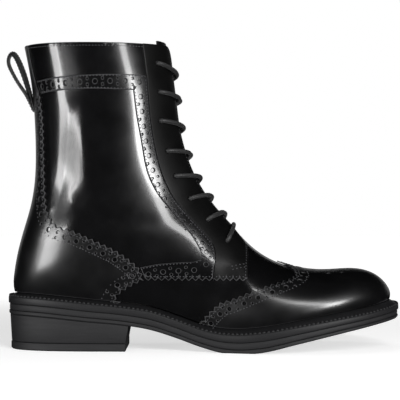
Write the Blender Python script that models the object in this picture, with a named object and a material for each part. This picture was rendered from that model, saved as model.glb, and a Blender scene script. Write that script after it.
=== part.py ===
"""Lace-up ankle boot with a wing tip, brogue bands and a low stacked heel, for the right foot.

Metres. +X runs to the toe, +Y to the inner side of the foot and +Z up. The origin is on the floor
under the middle of the heel. The outer form of the boot is one function, form(t, s): t counts the
sections from the toe up to the collar, and s runs round each section from the ridge at 0 to the sole
or the back seam, at -1 on the outer side of the foot and 1 on the inner side. The upper, the overlays
and the tongue are layers of that form, cut out by outlines in t and s.
"""
import math

import bpy
import numpy as np
from mathutils import Vector
from mathutils.geometry import delaunay_2d_cdt

# Driving sizes
SOLE_LENGTH = 0.276
HEEL_CENTRE = 0.0432        # back of the sole to the middle of the heel
BALL_WIDTH = 0.095
HEEL_HEIGHT = 0.0370        # floor to the sole's upper edge, at the back
BALL_HEIGHT = 0.0125        # floor to the sole's upper edge, under the ball
TOE_HEIGHT = 0.0314         # floor to the sole's upper edge, at the toe
SOLE_THICKNESS = 0.0125
THROAT_HEIGHT = 0.079       # floor to the foot of the laced opening
BOOT_HEIGHT = 0.212
SHAFT_WIDTH = 0.080

# Sole and heel
WELT_MARGIN = 0.0060        # how far the welt stands out from the upper
WELT_RISE = 0.0042          # bevel of the welt, from its edge up to the upper
MIDSOLE_INSET = 0.0008
OUTSOLE_INSET = 0.0004
HEEL_INSET = 0.0012
HEEL_TAPER = 0.0010         # how far the heel narrows down to its top piece
HEEL_LENGTH = 0.0845        # back of the sole to the breast of the heel
BREAST_RAKE = 0.0020        # how far the breast leans forward at its top
TOPLIFT_THICKNESS = 0.0054
INSOLE_THICKNESS = 0.0030
INSOLE_INSET = 0.0052

# Leather
WALL = 0.0018               # vamp and quarters with their lining
OVERLAY = 0.0009
TONGUE_THICKNESS = 0.0016
GAP = 0.0003
SEAM_GAP = 0.0006           # between two overlays that lie side by side, and under the lace
WELT_GAP = 0.0005           # between the welt and the edge of the upper, which both bend

# Laced opening
THROAT_TOP = 0.0170         # width of the opening at the collar
THROAT_FOOT = 0.0110
TONGUE_LAP = 0.0130         # how far the tongue reaches under each facing
TONGUE_PROUD = 0.0034       # above the collar
COLLAR_CORNER = 0.0075      # radius of the facing's top corner
LACE_DIAMETER = 0.0030

# Pull loop
LOOP_WIDTH = 0.0115
LOOP_THICKNESS = 0.0020
LOOP_HEIGHT = 0.0386
LOOP_FOOT = 0.1695          # floor to the lower end of the strap
LOOP_YAW = 0.16             # sideways lean of the loop at its top, as a slope

# Sections of the foot from the toe to the heel. Each is an oval from the ridge down to a keel that lies
# under the sole, and the sole cuts it off. keel and ridge are places along the sole as shares of its
# length from the back. sunk is how far the keel lies below the welt, as a share of the throat's height.
# level is the ridge's height: 0 is the floor, 1 the foot of the laced opening and 2 the collar. crown,
# the sideways place of the ridge, and full_outer and full_inner, how wide the oval swells on each side,
# are shares of the ball width. low_outer and low_inner are how full it is low down against its top.
FOOT_COLUMNS = (
    "keel", "sunk", "ridge", "level", "crown", "full_outer", "full_inner", "low_outer", "low_inner")
FOOT_SECTIONS = (
    (0.955, 0.086, 0.955, 0.335, 0.053, 0.000, 0.000, 0.95, 0.95),
    (0.948, 0.133, 0.984, 0.455, 0.053, 0.140, 0.134, 0.95, 0.95),
    (0.932, 0.142, 0.974, 0.552, 0.053, 0.236, 0.216, 0.95, 0.95),
    (0.910, 0.160, 0.951, 0.641, 0.053, 0.310, 0.272, 0.95, 0.95),
    (0.879, 0.199, 0.919, 0.695, 0.053, 0.376, 0.316, 0.95, 0.94),
    (0.839, 0.228, 0.879, 0.713, 0.053, 0.432, 0.345, 0.95, 0.92),
    (0.796, 0.248, 0.830, 0.697, 0.052, 0.471, 0.363, 0.95, 0.90),
    (0.751, 0.276, 0.780, 0.697, 0.050, 0.498, 0.372, 0.95, 0.87),
    (0.702, 0.322, 0.727, 0.729, 0.046, 0.509, 0.372, 0.95, 0.82),
    (0.649, 0.377, 0.676, 0.789, 0.042, 0.506, 0.360, 0.95, 0.70),
    (0.591, 0.403, 0.629, 0.898, 0.037, 0.480, 0.334, 0.93, 0.50),
    (0.522, 0.413, 0.600, 1.002, 0.032, 0.438, 0.308, 0.88, 0.31),
    (0.446, 0.438, 0.577, 1.050, 0.025, 0.402, 0.294, 0.79, 0.19),
    (0.363, 0.452, 0.557, 1.093, 0.019, 0.378, 0.295, 0.69, 0.18),
    (0.276, 0.408, 0.541, 1.132, 0.013, 0.364, 0.308, 0.64, 0.29),
    (0.186, 0.366, 0.527, 1.168, 0.007, 0.357, 0.326, 0.68, 0.51),
    (0.102, 0.299, 0.515, 1.205, 0.003, 0.355, 0.343, 0.86, 0.82),
    (0.044, 0.167, 0.504, 1.242, 0.001, 0.355, 0.350, 1.13, 1.12),
    (0.008, 0.005, 0.493, 1.284, 0.000, 0.357, 0.355, 1.28, 1.28),
)
# Sections of the shaft, from the heel up to the collar and a little past it. height is the back line's
# height as a share of the way from the welt up to the collar. half is a share of the shaft's width.
SHAFT_COLUMNS = ("keel", "height", "ridge", "level", "half", "low")
SHAFT_SECTIONS = (
    (0.0138, 0.082, 0.480, 1.332, 0.428, 1.28),
    (0.0217, 0.173, 0.468, 1.391, 0.431, 1.25),
    (0.0413, 0.266, 0.456, 1.462, 0.436, 1.22),
    (0.0601, 0.362, 0.445, 1.545, 0.444, 1.20),
    (0.0688, 0.472, 0.438, 1.633, 0.455, 1.18),
    (0.0696, 0.582, 0.433, 1.723, 0.467, 1.15),
    (0.0674, 0.704, 0.427, 1.815, 0.480, 1.15),
    (0.0594, 0.849, 0.422, 1.907, 0.491, 1.15),
    (0.0406, 1.000, 0.417, 2.000, 0.500, 1.15),
    (0.0207, 1.151, 0.412, 2.093, 0.507, 1.15),
)
COLLAR = float(len(FOOT_SECTIONS) + len(SHAFT_SECTIONS) - 2)
COLLAR_LEVELS = SHAFT_SECTIONS[-1][3] - SHAFT_SECTIONS[-2][3]
# Upper edge of the sole seen from the side: place as a share of its length from the back, share of the
# heel's rise above the ball, share of the toe's rise above the ball, and share of the sole's thickness.
SOLE_COLUMNS = ("along", "heel", "toe", "thick")
SOLE_PROFILE = (
    (0.000, 1.000, 0.000, 1.00),
    (0.078, 0.972, 0.000, 1.00),
    (0.215, 0.820, 0.000, 0.98),
    (0.303, 0.718, 0.000, 0.96),
    (0.370, 0.596, 0.000, 0.98),
    (0.428, 0.384, 0.000, 0.96),
    (0.493, 0.126, 0.000, 0.96),
    (0.537, 0.024, 0.000, 1.02),
    (0.580, 0.000, 0.000, 1.06),
    (0.635, 0.000, 0.063, 1.06),
    (0.734, 0.000, 0.307, 0.92),
    (0.834, 0.000, 0.561, 0.80),
    (0.917, 0.000, 0.757, 0.72),
    (1.000, 0.000, 1.000, 0.72),
)
# Outlines seen from the side: place as a share of the sole's length, height as a share of the boot's.
WING_LINE = (
    (0.486, 0.090), (0.500, 0.113), (0.524, 0.146), (0.540, 0.163), (0.557, 0.170), (0.595, 0.189),
    (0.628, 0.206), (0.657, 0.219), (0.685, 0.229), (0.714, 0.239), (0.730, 0.250), (0.727, 0.266),
    (0.710, 0.279),
)
WING_PEAK = 8.75            # section where the wing's point lies on the ridge
COUNTER_LINE = (
    (0.275, 0.150), (0.286, 0.180), (0.311, 0.205), (0.331, 0.220), (0.350, 0.231), (0.347, 0.252),
    (0.336, 0.277), (0.320, 0.295), (0.294, 0.320), (0.243, 0.354), (0.208, 0.375), (0.168, 0.397),
    (0.137, 0.408), (0.120, 0.426), (0.110, 0.450), (0.102, 0.502), (0.098, 0.569), (0.096, 0.652),
    (0.095, 0.720), (0.091, 0.784), (0.084, 0.839), (0.072, 0.880), (0.062, 0.930), (0.053, 0.999),
)
BAND_OUTER_LINE = (
    (0.078, 0.881), (0.118, 0.888), (0.219, 0.896), (0.305, 0.898), (0.350, 0.896), (0.357, 0.885),
    (0.364, 0.772), (0.375, 0.674), (0.394, 0.576), (0.421, 0.502), (0.455, 0.448), (0.500, 0.384),
    (0.522, 0.345), (0.526, 0.321), (0.524, 0.281), (0.521, 0.231),
)
BAND_INNER_LINE = (
    (0.362, 0.231), (0.357, 0.277), (0.382, 0.284), (0.423, 0.289), (0.474, 0.292), (0.490, 0.300),
    (0.494, 0.316), (0.488, 0.338), (0.455, 0.404), (0.413, 0.468), (0.383, 0.517), (0.360, 0.581),
    (0.345, 0.684), (0.334, 0.762), (0.326, 0.836), (0.318, 0.848), (0.219, 0.850), (0.132, 0.845),
    (0.090, 0.839),
)
FACING_LOW_LINE = ((0.610, 0.345), (0.611, 0.306), (0.608, 0.243), (0.604, 0.231))
# Eyelets from the collar down
EYELETS = (
    (0.384, 0.939), (0.390, 0.845), (0.392, 0.751), (0.409, 0.653), (0.429, 0.571), (0.466, 0.497),
    (0.510, 0.429), (0.559, 0.360),
)
# Route of the pull loop's strap: how far behind the back line and how high, as shares of its height
LOOP_ROUTE = (
    (0.035, 0.000), (0.035, 0.060), (0.042, 0.200), (0.078, 0.365), (0.109, 0.585), (0.150, 0.788),
    (0.192, 0.950), (0.250, 1.020), (0.335, 0.935), (0.368, 0.806), (0.330, 0.680), (0.272, 0.513),
    (0.189, 0.357), (0.117, 0.240), (0.102, 0.140), (0.101, 0.070),
)

# How fine the facets are
GRID_GIRTH = 9              # cells from the ridge to the sole on each side
END_LINES = (0.0, 0.12, 0.45, 1.0)      # sections that crowd together at the toe and at the heel
SOLE_STATIONS = 34
LOOP_STATIONS = 26
SCALE_S = 8.0               # sections that one unit of girth counts for when a net is triangulated
LACE_STATIONS = 7
LACE_SIDES = 7

LEATHER = ((0.010, 0.010, 0.011), 0.18)
LEATHER_LIGHT = ((0.014, 0.014, 0.015), 0.22)
RUBBER = ((0.042, 0.042, 0.045), 0.60)
LINING = ((0.020, 0.019, 0.019), 0.80)
CORD = ((0.012, 0.012, 0.012), 0.85)


def column(table, columns, name):
    return np.array([row[columns.index(name)] for row in table])


def foot(name):
    return column(FOOT_SECTIONS, FOOT_COLUMNS, name)


def shaft(name):
    return column(SHAFT_SECTIONS, SHAFT_COLUMNS, name)


def along(share):
    """Place on X of a share of the sole's length."""
    return np.asarray(share) * SOLE_LENGTH - HEEL_CENTRE


def height_of(level):
    """Height of a ridge level: 1 is the foot of the laced opening and 2 the collar."""
    level = np.asarray(level)
    return THROAT_HEIGHT * np.minimum(level, 1.0) + (BOOT_HEIGHT - THROAT_HEIGHT) * np.maximum(level - 1.0, 0.0)


def b_spline(values, t):
    """Smooth cubic curve held up by values, one per section."""
    values = np.asarray(values)
    points = np.concatenate([[2 * values[0] - values[1]], values, [2 * values[-1] - values[-2]]])
    t = np.clip(t, 0.0, len(values) - 1.0)
    i = np.minimum(t.astype(int), len(values) - 2)
    f = t - i
    weights = ((1 - f) ** 3, 3 * f ** 3 - 6 * f ** 2 + 4, -3 * f ** 3 + 3 * f ** 2 + 3 * f + 1, f ** 3)
    return sum(w * points[i + k] for k, w in enumerate(weights)) / 6.0


def through(xs, ys, x):
    """Curve through the points (xs, ys), with each slope taken from the two neighbours."""
    xs, ys = np.asarray(xs), np.asarray(ys)
    slope = np.gradient(ys, xs)
    i = np.clip(np.searchsorted(xs, x) - 1, 0, len(xs) - 2)
    h = xs[i + 1] - xs[i]
    f = np.clip((x - xs[i]) / h, 0.0, 1.0)
    rise = f * f * (3 - 2 * f)
    bend = f * (1 - f) * ((1 - f) * slope[i] - f * slope[i + 1]) * h
    return ys[i] + rise * (ys[i + 1] - ys[i]) + bend


def sole_profile(x, name):
    share = (np.asarray(x) + HEEL_CENTRE) / SOLE_LENGTH
    return through(column(SOLE_PROFILE, SOLE_COLUMNS, "along"), column(SOLE_PROFILE, SOLE_COLUMNS, name), share)


def edge_height(x):
    """Upper edge of the sole."""
    return (BALL_HEIGHT + (HEEL_HEIGHT - BALL_HEIGHT) * sole_profile(x, "heel")
            + (TOE_HEIGHT - BALL_HEIGHT) * sole_profile(x, "toe"))


def seat_height(x):
    """Flat of the welt under the upper: its bevel rises more at the toe than at the heel."""
    share = (np.asarray(x) + HEEL_CENTRE) / SOLE_LENGTH
    return edge_height(x) + WELT_RISE * (0.58 + 0.42 * share)


def sole_bottom(x):
    return np.maximum(edge_height(x) - SOLE_THICKNESS * sole_profile(x, "thick"), 0.0)


def welt_top(x):
    """Height at which the upper ends above the welt."""
    return seat_height(x) + WELT_GAP


def guides(t):
    """Ridge, keel and widths of the form at the sections t."""
    t = np.asarray(t, dtype=float)
    keel_x = along(np.concatenate([foot("keel"), shaft("keel")]))
    heel_z = welt_top(keel_x[len(FOOT_SECTIONS) - 1])
    keel_z = np.concatenate([
        welt_top(keel_x[:len(FOOT_SECTIONS)]) - THROAT_HEIGHT * foot("sunk"),
        heel_z + (BOOT_HEIGHT - heel_z) * shaft("height")])
    ridge_x = along(np.concatenate([foot("ridge"), shaft("ridge")]))
    ridge_z = height_of(np.concatenate([foot("level"), shaft("level")]))
    ridge_z[0] = keel_z[0]
    crown = BALL_WIDTH * np.concatenate([foot("crown"), 0.0 * shaft("half")])
    found = {"keel_x": keel_x, "keel_z": keel_z, "ridge_x": ridge_x, "ridge_z": ridge_z, "crown": crown}
    for side in ("outer", "inner"):
        found["full_" + side] = np.concatenate([BALL_WIDTH * foot("full_" + side), SHAFT_WIDTH * shaft("half")])
        found["low_" + side] = np.concatenate([foot("low_" + side), shaft("low")])
    return {name: b_spline(values, t) for name, values in found.items()}


def oval_width(a, full, low):
    """Half width of an oval at a, which runs from 0 at its ridge to 1 at its keel."""
    top = full / (0.375 * (1.0 + low))
    return 3 * a * (1 - a) * ((1 - a) * top + a * low * top)


def oval_depth(a):
    """How far down from ridge to keel an oval has come at a."""
    return 3 * a ** 2 - 2 * a ** 3


def halve(test, low, high):
    """Where test turns from true to false between low and high."""
    for _ in range(44):
        middle = 0.5 * (low + high)
        passed = test(middle)
        low, high = np.where(passed, middle, low), np.where(passed, high, middle)
    return low


def seen_share(g):
    """How much of each oval stands above the sole."""
    def above(a):
        x = g["ridge_x"] + oval_depth(a) * (g["keel_x"] - g["ridge_x"])
        z = g["ridge_z"] + oval_depth(a) * (g["keel_z"] - g["ridge_z"])
        return z > welt_top(x)
    last = halve(above, 0.0 * g["keel_x"], 0.0 * g["keel_x"] + 1.0)
    return np.where(g["keel_z"] >= welt_top(g["keel_x"]) - 1e-9, 1.0, last)


def oval_point(g, a):
    """Point of each oval at a, which is negative on the outer side of the foot."""
    depth = oval_depth(np.abs(a))
    x = g["ridge_x"] + depth * (g["keel_x"] - g["ridge_x"])
    z = g["ridge_z"] + depth * (g["keel_z"] - g["ridge_z"])
    outer = g["crown"] - oval_width(np.abs(a), g["full_outer"], g["low_outer"])
    inner = g["crown"] + oval_width(np.abs(a), g["full_inner"], g["low_inner"])
    return np.stack([x, np.where(a < 0, outer, inner), z], axis=-1)


def form(t, s):
    """Point of the boot's outer form at section t and girth s."""
    t, s = np.broadcast_arrays(np.asarray(t, dtype=float), np.asarray(s, dtype=float))
    g = guides(t.ravel())
    return oval_point(g, seen_share(g) * s.ravel()).reshape(t.shape + (3,))


def crossing_section(line, low, high):
    """Section between low and high at which this guide line rises through the top of the welt."""
    def below(t):
        g = guides(t)
        return g[line + "_z"] < welt_top(g[line + "_x"])
    return float(halve(below, np.array([low]), np.array([high]))[0])


TOE = crossing_section("ridge", 0.0, 3.0)
HEEL = crossing_section("keel", 16.0, 20.0) + 1e-6
GRID_SECTIONS = np.concatenate([
    TOE + np.array(END_LINES), np.arange(math.ceil(TOE + 1.3), math.floor(HEEL - 1.3) + 1.0),
    HEEL - np.array(END_LINES[::-1]), np.arange(math.ceil(HEEL + 0.3), COLLAR), [COLLAR, COLLAR + 0.28]])


def edge_line(side):
    """The upper's edge on the welt seen from above, from the toe to the heel."""
    t = TOE + (HEEL - TOE) * 0.5 * (1 - np.cos(math.pi * np.linspace(0.0, 1.0, 241)))
    return t, form(t, 0.0 * t + side)[:, :2]


def form_normal(t, s, step=0.004):
    """Outward unit normal of the form."""
    t, s = np.broadcast_arrays(np.asarray(t, dtype=float), np.asarray(s, dtype=float))
    g = guides(t.ravel())
    a = seen_share(g) * s.ravel()
    along_girth = oval_point(g, np.minimum(a + step, 1.0)) - oval_point(g, np.maximum(a - step, -1.0))
    along_girth[np.abs(a) > 1 - step] = (0.0, -1.0, 0.0)
    along_length = oval_point(guides(t.ravel() + 0.5 * step), a) - oval_point(guides(t.ravel() - 0.5 * step), a)
    normal = np.cross(along_girth, along_length)
    return (normal / np.linalg.norm(normal, axis=-1, keepdims=True)).reshape(t.shape + (3,))


GIRTH_LINES = np.linspace(-1.0, 1.0, 2 * GRID_GIRTH + 1)
GRID_POINTS = form(GRID_SECTIONS[:, None], GIRTH_LINES[None, :])
GRID_NORMALS = form_normal(GRID_SECTIONS[:, None], GIRTH_LINES[None, :])


def on_grid(values, t, s):
    """Value at (t, s) on the two flat triangles of its grid cell, which mirror each other at the ridge."""
    i = np.clip(np.searchsorted(GRID_SECTIONS, t, side="right") - 1, 0, len(GRID_SECTIONS) - 2)
    j = np.clip(np.searchsorted(GIRTH_LINES, s, side="right") - 1, 0, len(GIRTH_LINES) - 2)
    a = ((t - GRID_SECTIONS[i]) / (GRID_SECTIONS[i + 1] - GRID_SECTIONS[i]))[:, None]
    b = ((s - GIRTH_LINES[j]) / (GIRTH_LINES[j + 1] - GIRTH_LINES[j]))[:, None]
    inner = j >= GRID_GIRTH
    b = np.where(inner[:, None], 1 - b, b)
    near, far = np.where(inner, j + 1, j), np.where(inner, j, j + 1)
    v00, v10, v01, v11 = values[i, near], values[i + 1, near], values[i, far], values[i + 1, far]
    first = v00 + a * (v10 - v00) + b * (v11 - v10)
    second = v00 + b * (v01 - v00) + a * (v11 - v01)
    return np.where(a >= b, first, second)


def layer(t, s, lift):
    """Points of the faceted form, lifted along its normals."""
    t, s = np.atleast_1d(t).astype(float), np.atleast_1d(s).astype(float)
    return on_grid(GRID_POINTS, t, s) + lift * on_grid(GRID_NORMALS, t, s)


def side_place(share, height):
    """Section and girth on the outer side whose point has this place and height seen from the side."""
    if not hasattr(side_place, "net"):
        t = np.linspace(TOE, COLLAR, 541)
        s = np.linspace(-1.0, 0.0, 161)
        side_place.net = (t, s, form(t[:, None], s[None, :]))
    t, s, net = side_place.net
    target = np.array([along(share), height * BOOT_HEIGHT])
    off = np.sum((net[:, :, (0, 2)] - target) ** 2, axis=-1)
    i, j = np.unravel_index(np.argmin(off), off.shape)
    t0, s0 = t[i], s[j]
    for _ in range(4):
        here = form(t0, s0)[[0, 2]]
        step = 1e-3
        slope = np.stack([(form(t0 + step, s0)[[0, 2]] - here) / step,
                          (form(t0, min(s0 + step, 0.0))[[0, 2]] - here) / step], axis=-1)
        move = np.linalg.lstsq(slope, target - here, rcond=1e-2)[0]
        t0 = min(max(t0 + np.clip(move[0], -0.1, 0.1), TOE), COLLAR)
        s0 = min(max(s0 + np.clip(move[1], -0.02, 0.02), -1.0), 0.0)
    return t0, s0


def seen_at(t):
    return seen_share(guides(np.array([t])))[0]


def side_line(table):
    """Outline in t and s, with a corner on each of the sections that crowd together at the heel."""
    places = [side_place(share, height) for share, height in table]
    line = places[:1]
    for (t0, s0), (t1, s1) in zip(places, places[1:]):
        a0, a1 = s0 * seen_at(t0), s1 * seen_at(t1)
        crossed = [HEEL - d for d in END_LINES if min(t0, t1) + 0.03 < HEEL - d < max(t0, t1) - 0.03]
        for t in sorted(crossed, reverse=bool(t1 < t0)):
            line.append((t, (a0 + (a1 - a0) * (t - t0) / (t1 - t0)) / seen_at(t)))
        line.append((t1, s1))
    return line


def mirrored(outline):
    """The same outline on the inner side of the foot."""
    return [(t, -s) for t, s in reversed(outline)]


def girth_of(t, width):
    """Girth that lies this far from the ridge, on the outer side."""
    g = guides(np.array([t]))
    top = g["full_outer"][0] / (0.375 * (1.0 + g["low_outer"][0]))
    return width / (3 * top * seen_share(g)[0])


def inside(outline, points):
    """Which points lie in the closed outline, by counting the edges to one side of each."""
    odd = np.zeros(len(points), dtype=bool)
    for (t0, s0), (t1, s1) in zip(outline, outline[1:] + outline[:1]):
        spans = (s0 > points[:, 1]) != (s1 > points[:, 1])
        with np.errstate(divide="ignore", invalid="ignore"):
            cross = t0 + (points[:, 1] - s0) * (t1 - t0) / (s1 - s0)
        odd ^= spans & (points[:, 0] < cross)
    return odd


def cut_net(outlines):
    """Triangles of the grid that lie in the outlines, as (t, s) points and faces."""
    corners = np.array([p for outline in outlines for p in outline])
    (t0, s0), (t1, s1) = corners.min(axis=0), corners.max(axis=0)
    rows = [i for i, t in enumerate(GRID_SECTIONS[:-1]) if GRID_SECTIONS[i + 1] > t0 and t < t1]
    cols = [j for j, s in enumerate(GIRTH_LINES[:-1]) if GIRTH_LINES[j + 1] > s0 and s < s1]
    index, points, edges = {}, [], []

    def corner(i, j):
        if (i, j) not in index:
            index[i, j] = len(points)
            points.append(Vector((GRID_SECTIONS[i], SCALE_S * GIRTH_LINES[j])))
        return index[i, j]

    for i in rows:
        for j in cols:
            a, b, c, d = corner(i, j), corner(i + 1, j), corner(i + 1, j + 1), corner(i, j + 1)
            edges += [(a, b), (b, c), (c, d), (d, a), (a, c) if j < GRID_GIRTH else (b, d)]
    for outline in outlines:
        first = len(points)
        points += [Vector((t, SCALE_S * s)) for t, s in outline]
        edges += [(first + k, first + (k + 1) % len(outline)) for k in range(len(outline))]
    flat, _, faces, _, _, _ = delaunay_2d_cdt(points, edges, [], 0, 2e-3)
    flat = np.array([(p.x, p.y / SCALE_S) for p in flat])
    faces = np.array([list(face) for face in faces])
    middle = flat[faces].mean(axis=1)
    keep = np.zeros(len(faces), dtype=bool)
    for outline in outlines:
        keep |= inside(outline, middle)
    return flat, faces[keep]


def leather(name, outlines, top, thickness, material):
    """A piece of leather: the outlines' net at two depths of the form, joined round its rims."""
    flat, faces = cut_net(outlines)
    outer, inner = layer(flat[:, 0], flat[:, 1], top), layer(flat[:, 0], flat[:, 1], top - thickness)
    keys = {}
    weld = np.array([keys.setdefault(tuple(np.round(p * 1e6).astype(int)), k) for k, p in enumerate(outer)])
    faces = weld[faces]
    faces = [f for f in faces if len(set(f)) == 3]
    directed = {(a, b) for f in faces for a, b in ((f[0], f[1]), (f[1], f[2]), (f[2], f[0]))}
    count = len(outer)
    polygons = [tuple(f) for f in faces] + [tuple(v + count for v in reversed(f)) for f in faces]
    for a, b in directed:
        if (b, a) not in directed:
            polygons.append((b, a, a + count, b + count))
    return solid(name, np.concatenate([outer, inner]), polygons, material)


def solid(name, vertices, polygons, material):
    """Closed mesh from vertices and polygons, turned so that its faces point out."""
    used = sorted({v for polygon in polygons for v in polygon})
    order = {v: k for k, v in enumerate(used)}
    mesh = bpy.data.meshes.new(name)
    mesh.from_pydata([tuple(vertices[v]) for v in used], [], [[order[v] for v in p] for p in polygons])
    if signed_volume(mesh) < 0:
        mesh.flip_normals()
    mesh.validate()
    mesh.materials.append(material)
    made = bpy.data.objects.new(name, mesh)
    bpy.context.scene.collection.objects.link(made)
    return made


def signed_volume(mesh):
    mesh.calc_loop_triangles()
    corners = np.array([[mesh.vertices[v].co[:] for v in tri.vertices] for tri in mesh.loop_triangles])
    return np.sum(corners[:, 0] * np.cross(corners[:, 1], corners[:, 2])) / 6.0


def finish(name, look, roughness):
    """Plain material of one colour."""
    material = bpy.data.materials.new(name)
    material.use_nodes = True
    shader = material.node_tree.nodes["Principled BSDF"]
    shader.inputs["Base Color"].default_value = (*look, 1.0)
    shader.inputs["Roughness"].default_value = roughness
    shader.inputs["Metallic"].default_value = 0.0
    return material


def edge_outline(margin):
    """Outline of the sole on each side, from the back: the upper's edge, moved out by margin(t)."""
    (t, outer), (_, inner) = edge_line(-1.0), edge_line(1.0)
    ring = np.concatenate([outer, inner[-2:0:-1]])
    out = np.concatenate([margin(t), margin(t)[-2:0:-1]])
    tangent = np.roll(ring, -1, axis=0) - np.roll(ring, 1, axis=0)
    normal = np.stack([tangent[:, 1], -tangent[:, 0]], -1)
    normal /= np.linalg.norm(normal, axis=1, keepdims=True)
    normal *= np.sign(np.sum(normal * (ring - ring.mean(axis=0)), axis=1).sum())
    ring = ring + normal * out[:, None]
    front, back = int(np.argmax(ring[:, 0])), int(np.argmin(ring[:, 0]))
    ring = np.roll(ring, -front, axis=0)
    back = (back - front) % len(ring)
    return ring[:back + 1][::-1], np.concatenate([ring[back:], ring[:1]])


def welt_margin(inset):
    """How far the sole stands out from the upper at section t: more at the toe than at the heel."""
    return lambda t: WELT_MARGIN * (1.08 - 0.38 * np.minimum(t / 12.0, 1.0)) - inset


def stations(inset, last=None):
    """X of the cross lines of a sole outline and Y at their two ends, from the back to the front."""
    outer, inner = edge_outline(welt_margin(inset))
    x0, x1 = outer[0, 0], outer[-1, 0]
    u = np.linspace(0.0, 1.0, SOLE_STATIONS)
    if last is None:
        x = x0 + (x1 - x0) * 0.5 * (1 - np.cos(math.pi * u))
    else:
        x = x0 + (last - x0) * (1 - np.cos(0.5 * math.pi * np.linspace(0.0, 1.0, SOLE_STATIONS // 2)))
    return x, np.interp(x, outer[:, 0], outer[:, 1]), np.interp(x, inner[:, 0], inner[:, 1])


def rails(name, lines, material, capped=False):
    """Closed solid whose cross section has one corner on each line, from the back to the front."""
    count, length = len(lines), len(lines[0])
    vertices = np.concatenate(lines)
    keys = {}
    weld = [keys.setdefault(tuple(np.round(p * 1e7).astype(int)), k) for k, p in enumerate(vertices)]
    polygons = []
    for k in range(count):
        near, far = k * length, (k + 1) % count * length
        for j in range(length - 1):
            corners = [weld[near + j], weld[near + j + 1], weld[far + j + 1], weld[far + j]]
            corners = [c for c, after in zip(corners, corners[1:] + corners[:1]) if c != after]
            if len(set(corners)) > 2:
                polygons.append(corners)
    if capped:
        polygons.append([weld[k * length + length - 1] for k in reversed(range(count))])
    return solid(name, vertices, polygons, material)


def sole_layer(name, inset, top, bottom, material):
    x, outer, inner = stations(inset)
    corners = ((outer, top), (inner, top), (inner, bottom), (outer, bottom))
    return rails(name, [np.stack([x, y, z(x)], -1) for y, z in corners], material)


def make_sole(rubber, lift_rubber, lining):
    """Welt, midsole and outsole one under the other, with the heel and the insole."""
    def depth(share, gap=0.0):
        return lambda x: np.maximum(edge_height(x) - SOLE_THICKNESS * sole_profile(x, "thick") * share - gap, 0.0)

    x, outer, inner = stations(0.0)
    seat_x, seat_outer, seat_inner = stations(WELT_MARGIN)
    rails("welt", [
        np.stack([x, outer, edge_height(x)], -1),
        np.stack([seat_x, seat_outer, seat_height(seat_x)], -1),
        np.stack([seat_x, seat_inner, seat_height(seat_x)], -1),
        np.stack([x, inner, edge_height(x)], -1),
        np.stack([x, inner, depth(0.40)(x)], -1),
        np.stack([x, outer, depth(0.40)(x)], -1)], rubber)
    sole_layer("midsole", MIDSOLE_INSET, depth(0.40, GAP), depth(0.76), rubber)
    sole_layer("outsole", OUTSOLE_INSET, depth(0.76, GAP), sole_bottom, rubber)

    breast = HEEL_LENGTH - HEEL_CENTRE
    x_top, outer_top, inner_top = stations(HEEL_INSET, breast + BREAST_RAKE)
    x_low, outer_low, inner_low = stations(HEEL_INSET + HEEL_TAPER, breast)
    lines = [np.stack([x_top, y, sole_bottom(x_top) - GAP], -1) for y in (outer_top, inner_top)]
    lines += [np.stack([x_low, y, x_low * 0.0 + TOPLIFT_THICKNESS + GAP], -1) for y in (inner_low, outer_low)]
    rails("heel_block", lines, rubber, capped=True)
    x_lift, outer_lift, inner_lift = stations(HEEL_INSET + 0.7 * HEEL_TAPER, breast)
    lines = [np.stack([x_lift, y, x_lift * 0.0 + z], -1) for y, z in (
        (outer_lift, TOPLIFT_THICKNESS), (inner_lift, TOPLIFT_THICKNESS), (inner_lift, 0.0), (outer_lift, 0.0))]
    rails("heel_toplift", lines, lift_rubber, capped=True)

    sole_layer("insole", WELT_MARGIN + INSOLE_INSET, lambda x: seat_height(x) + GAP + INSOLE_THICKNESS,
               lambda x: seat_height(x) + GAP, lining)


def throat_edge():
    """Edge of the facing on the outer side, from its top corner to the middle of the throat's foot."""
    top, foot_t = COLLAR, 11.05
    t = np.linspace(top, foot_t + 0.8, 15)
    half = 0.5 * (THROAT_FOOT + (THROAT_TOP - THROAT_FOOT) * (t - foot_t) / (top - foot_t))
    line = [(tt, -girth_of(tt, w)) for tt, w in zip(t, half)]
    rise = COLLAR_LEVELS * (BOOT_HEIGHT - THROAT_HEIGHT) / COLLAR_CORNER
    corner = []
    for angle in np.radians([0.0, 22.5, 45.0, 67.5, 90.0]):
        width = half[0] + COLLAR_CORNER * (1 - math.sin(angle))
        corner.append((top - (1 - math.cos(angle)) / rise, -girth_of(top, width)))
    foot_half = half[-1]
    end = []
    for angle in np.radians([30.0, 60.0, 90.0]):
        t_end = foot_t + 0.8 - 0.8 * math.sin(angle)
        end.append((t_end, -girth_of(t_end, foot_half * math.cos(angle))))
    return corner + [p for p in line if p[0] < corner[-1][0] - 0.2] + end


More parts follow.
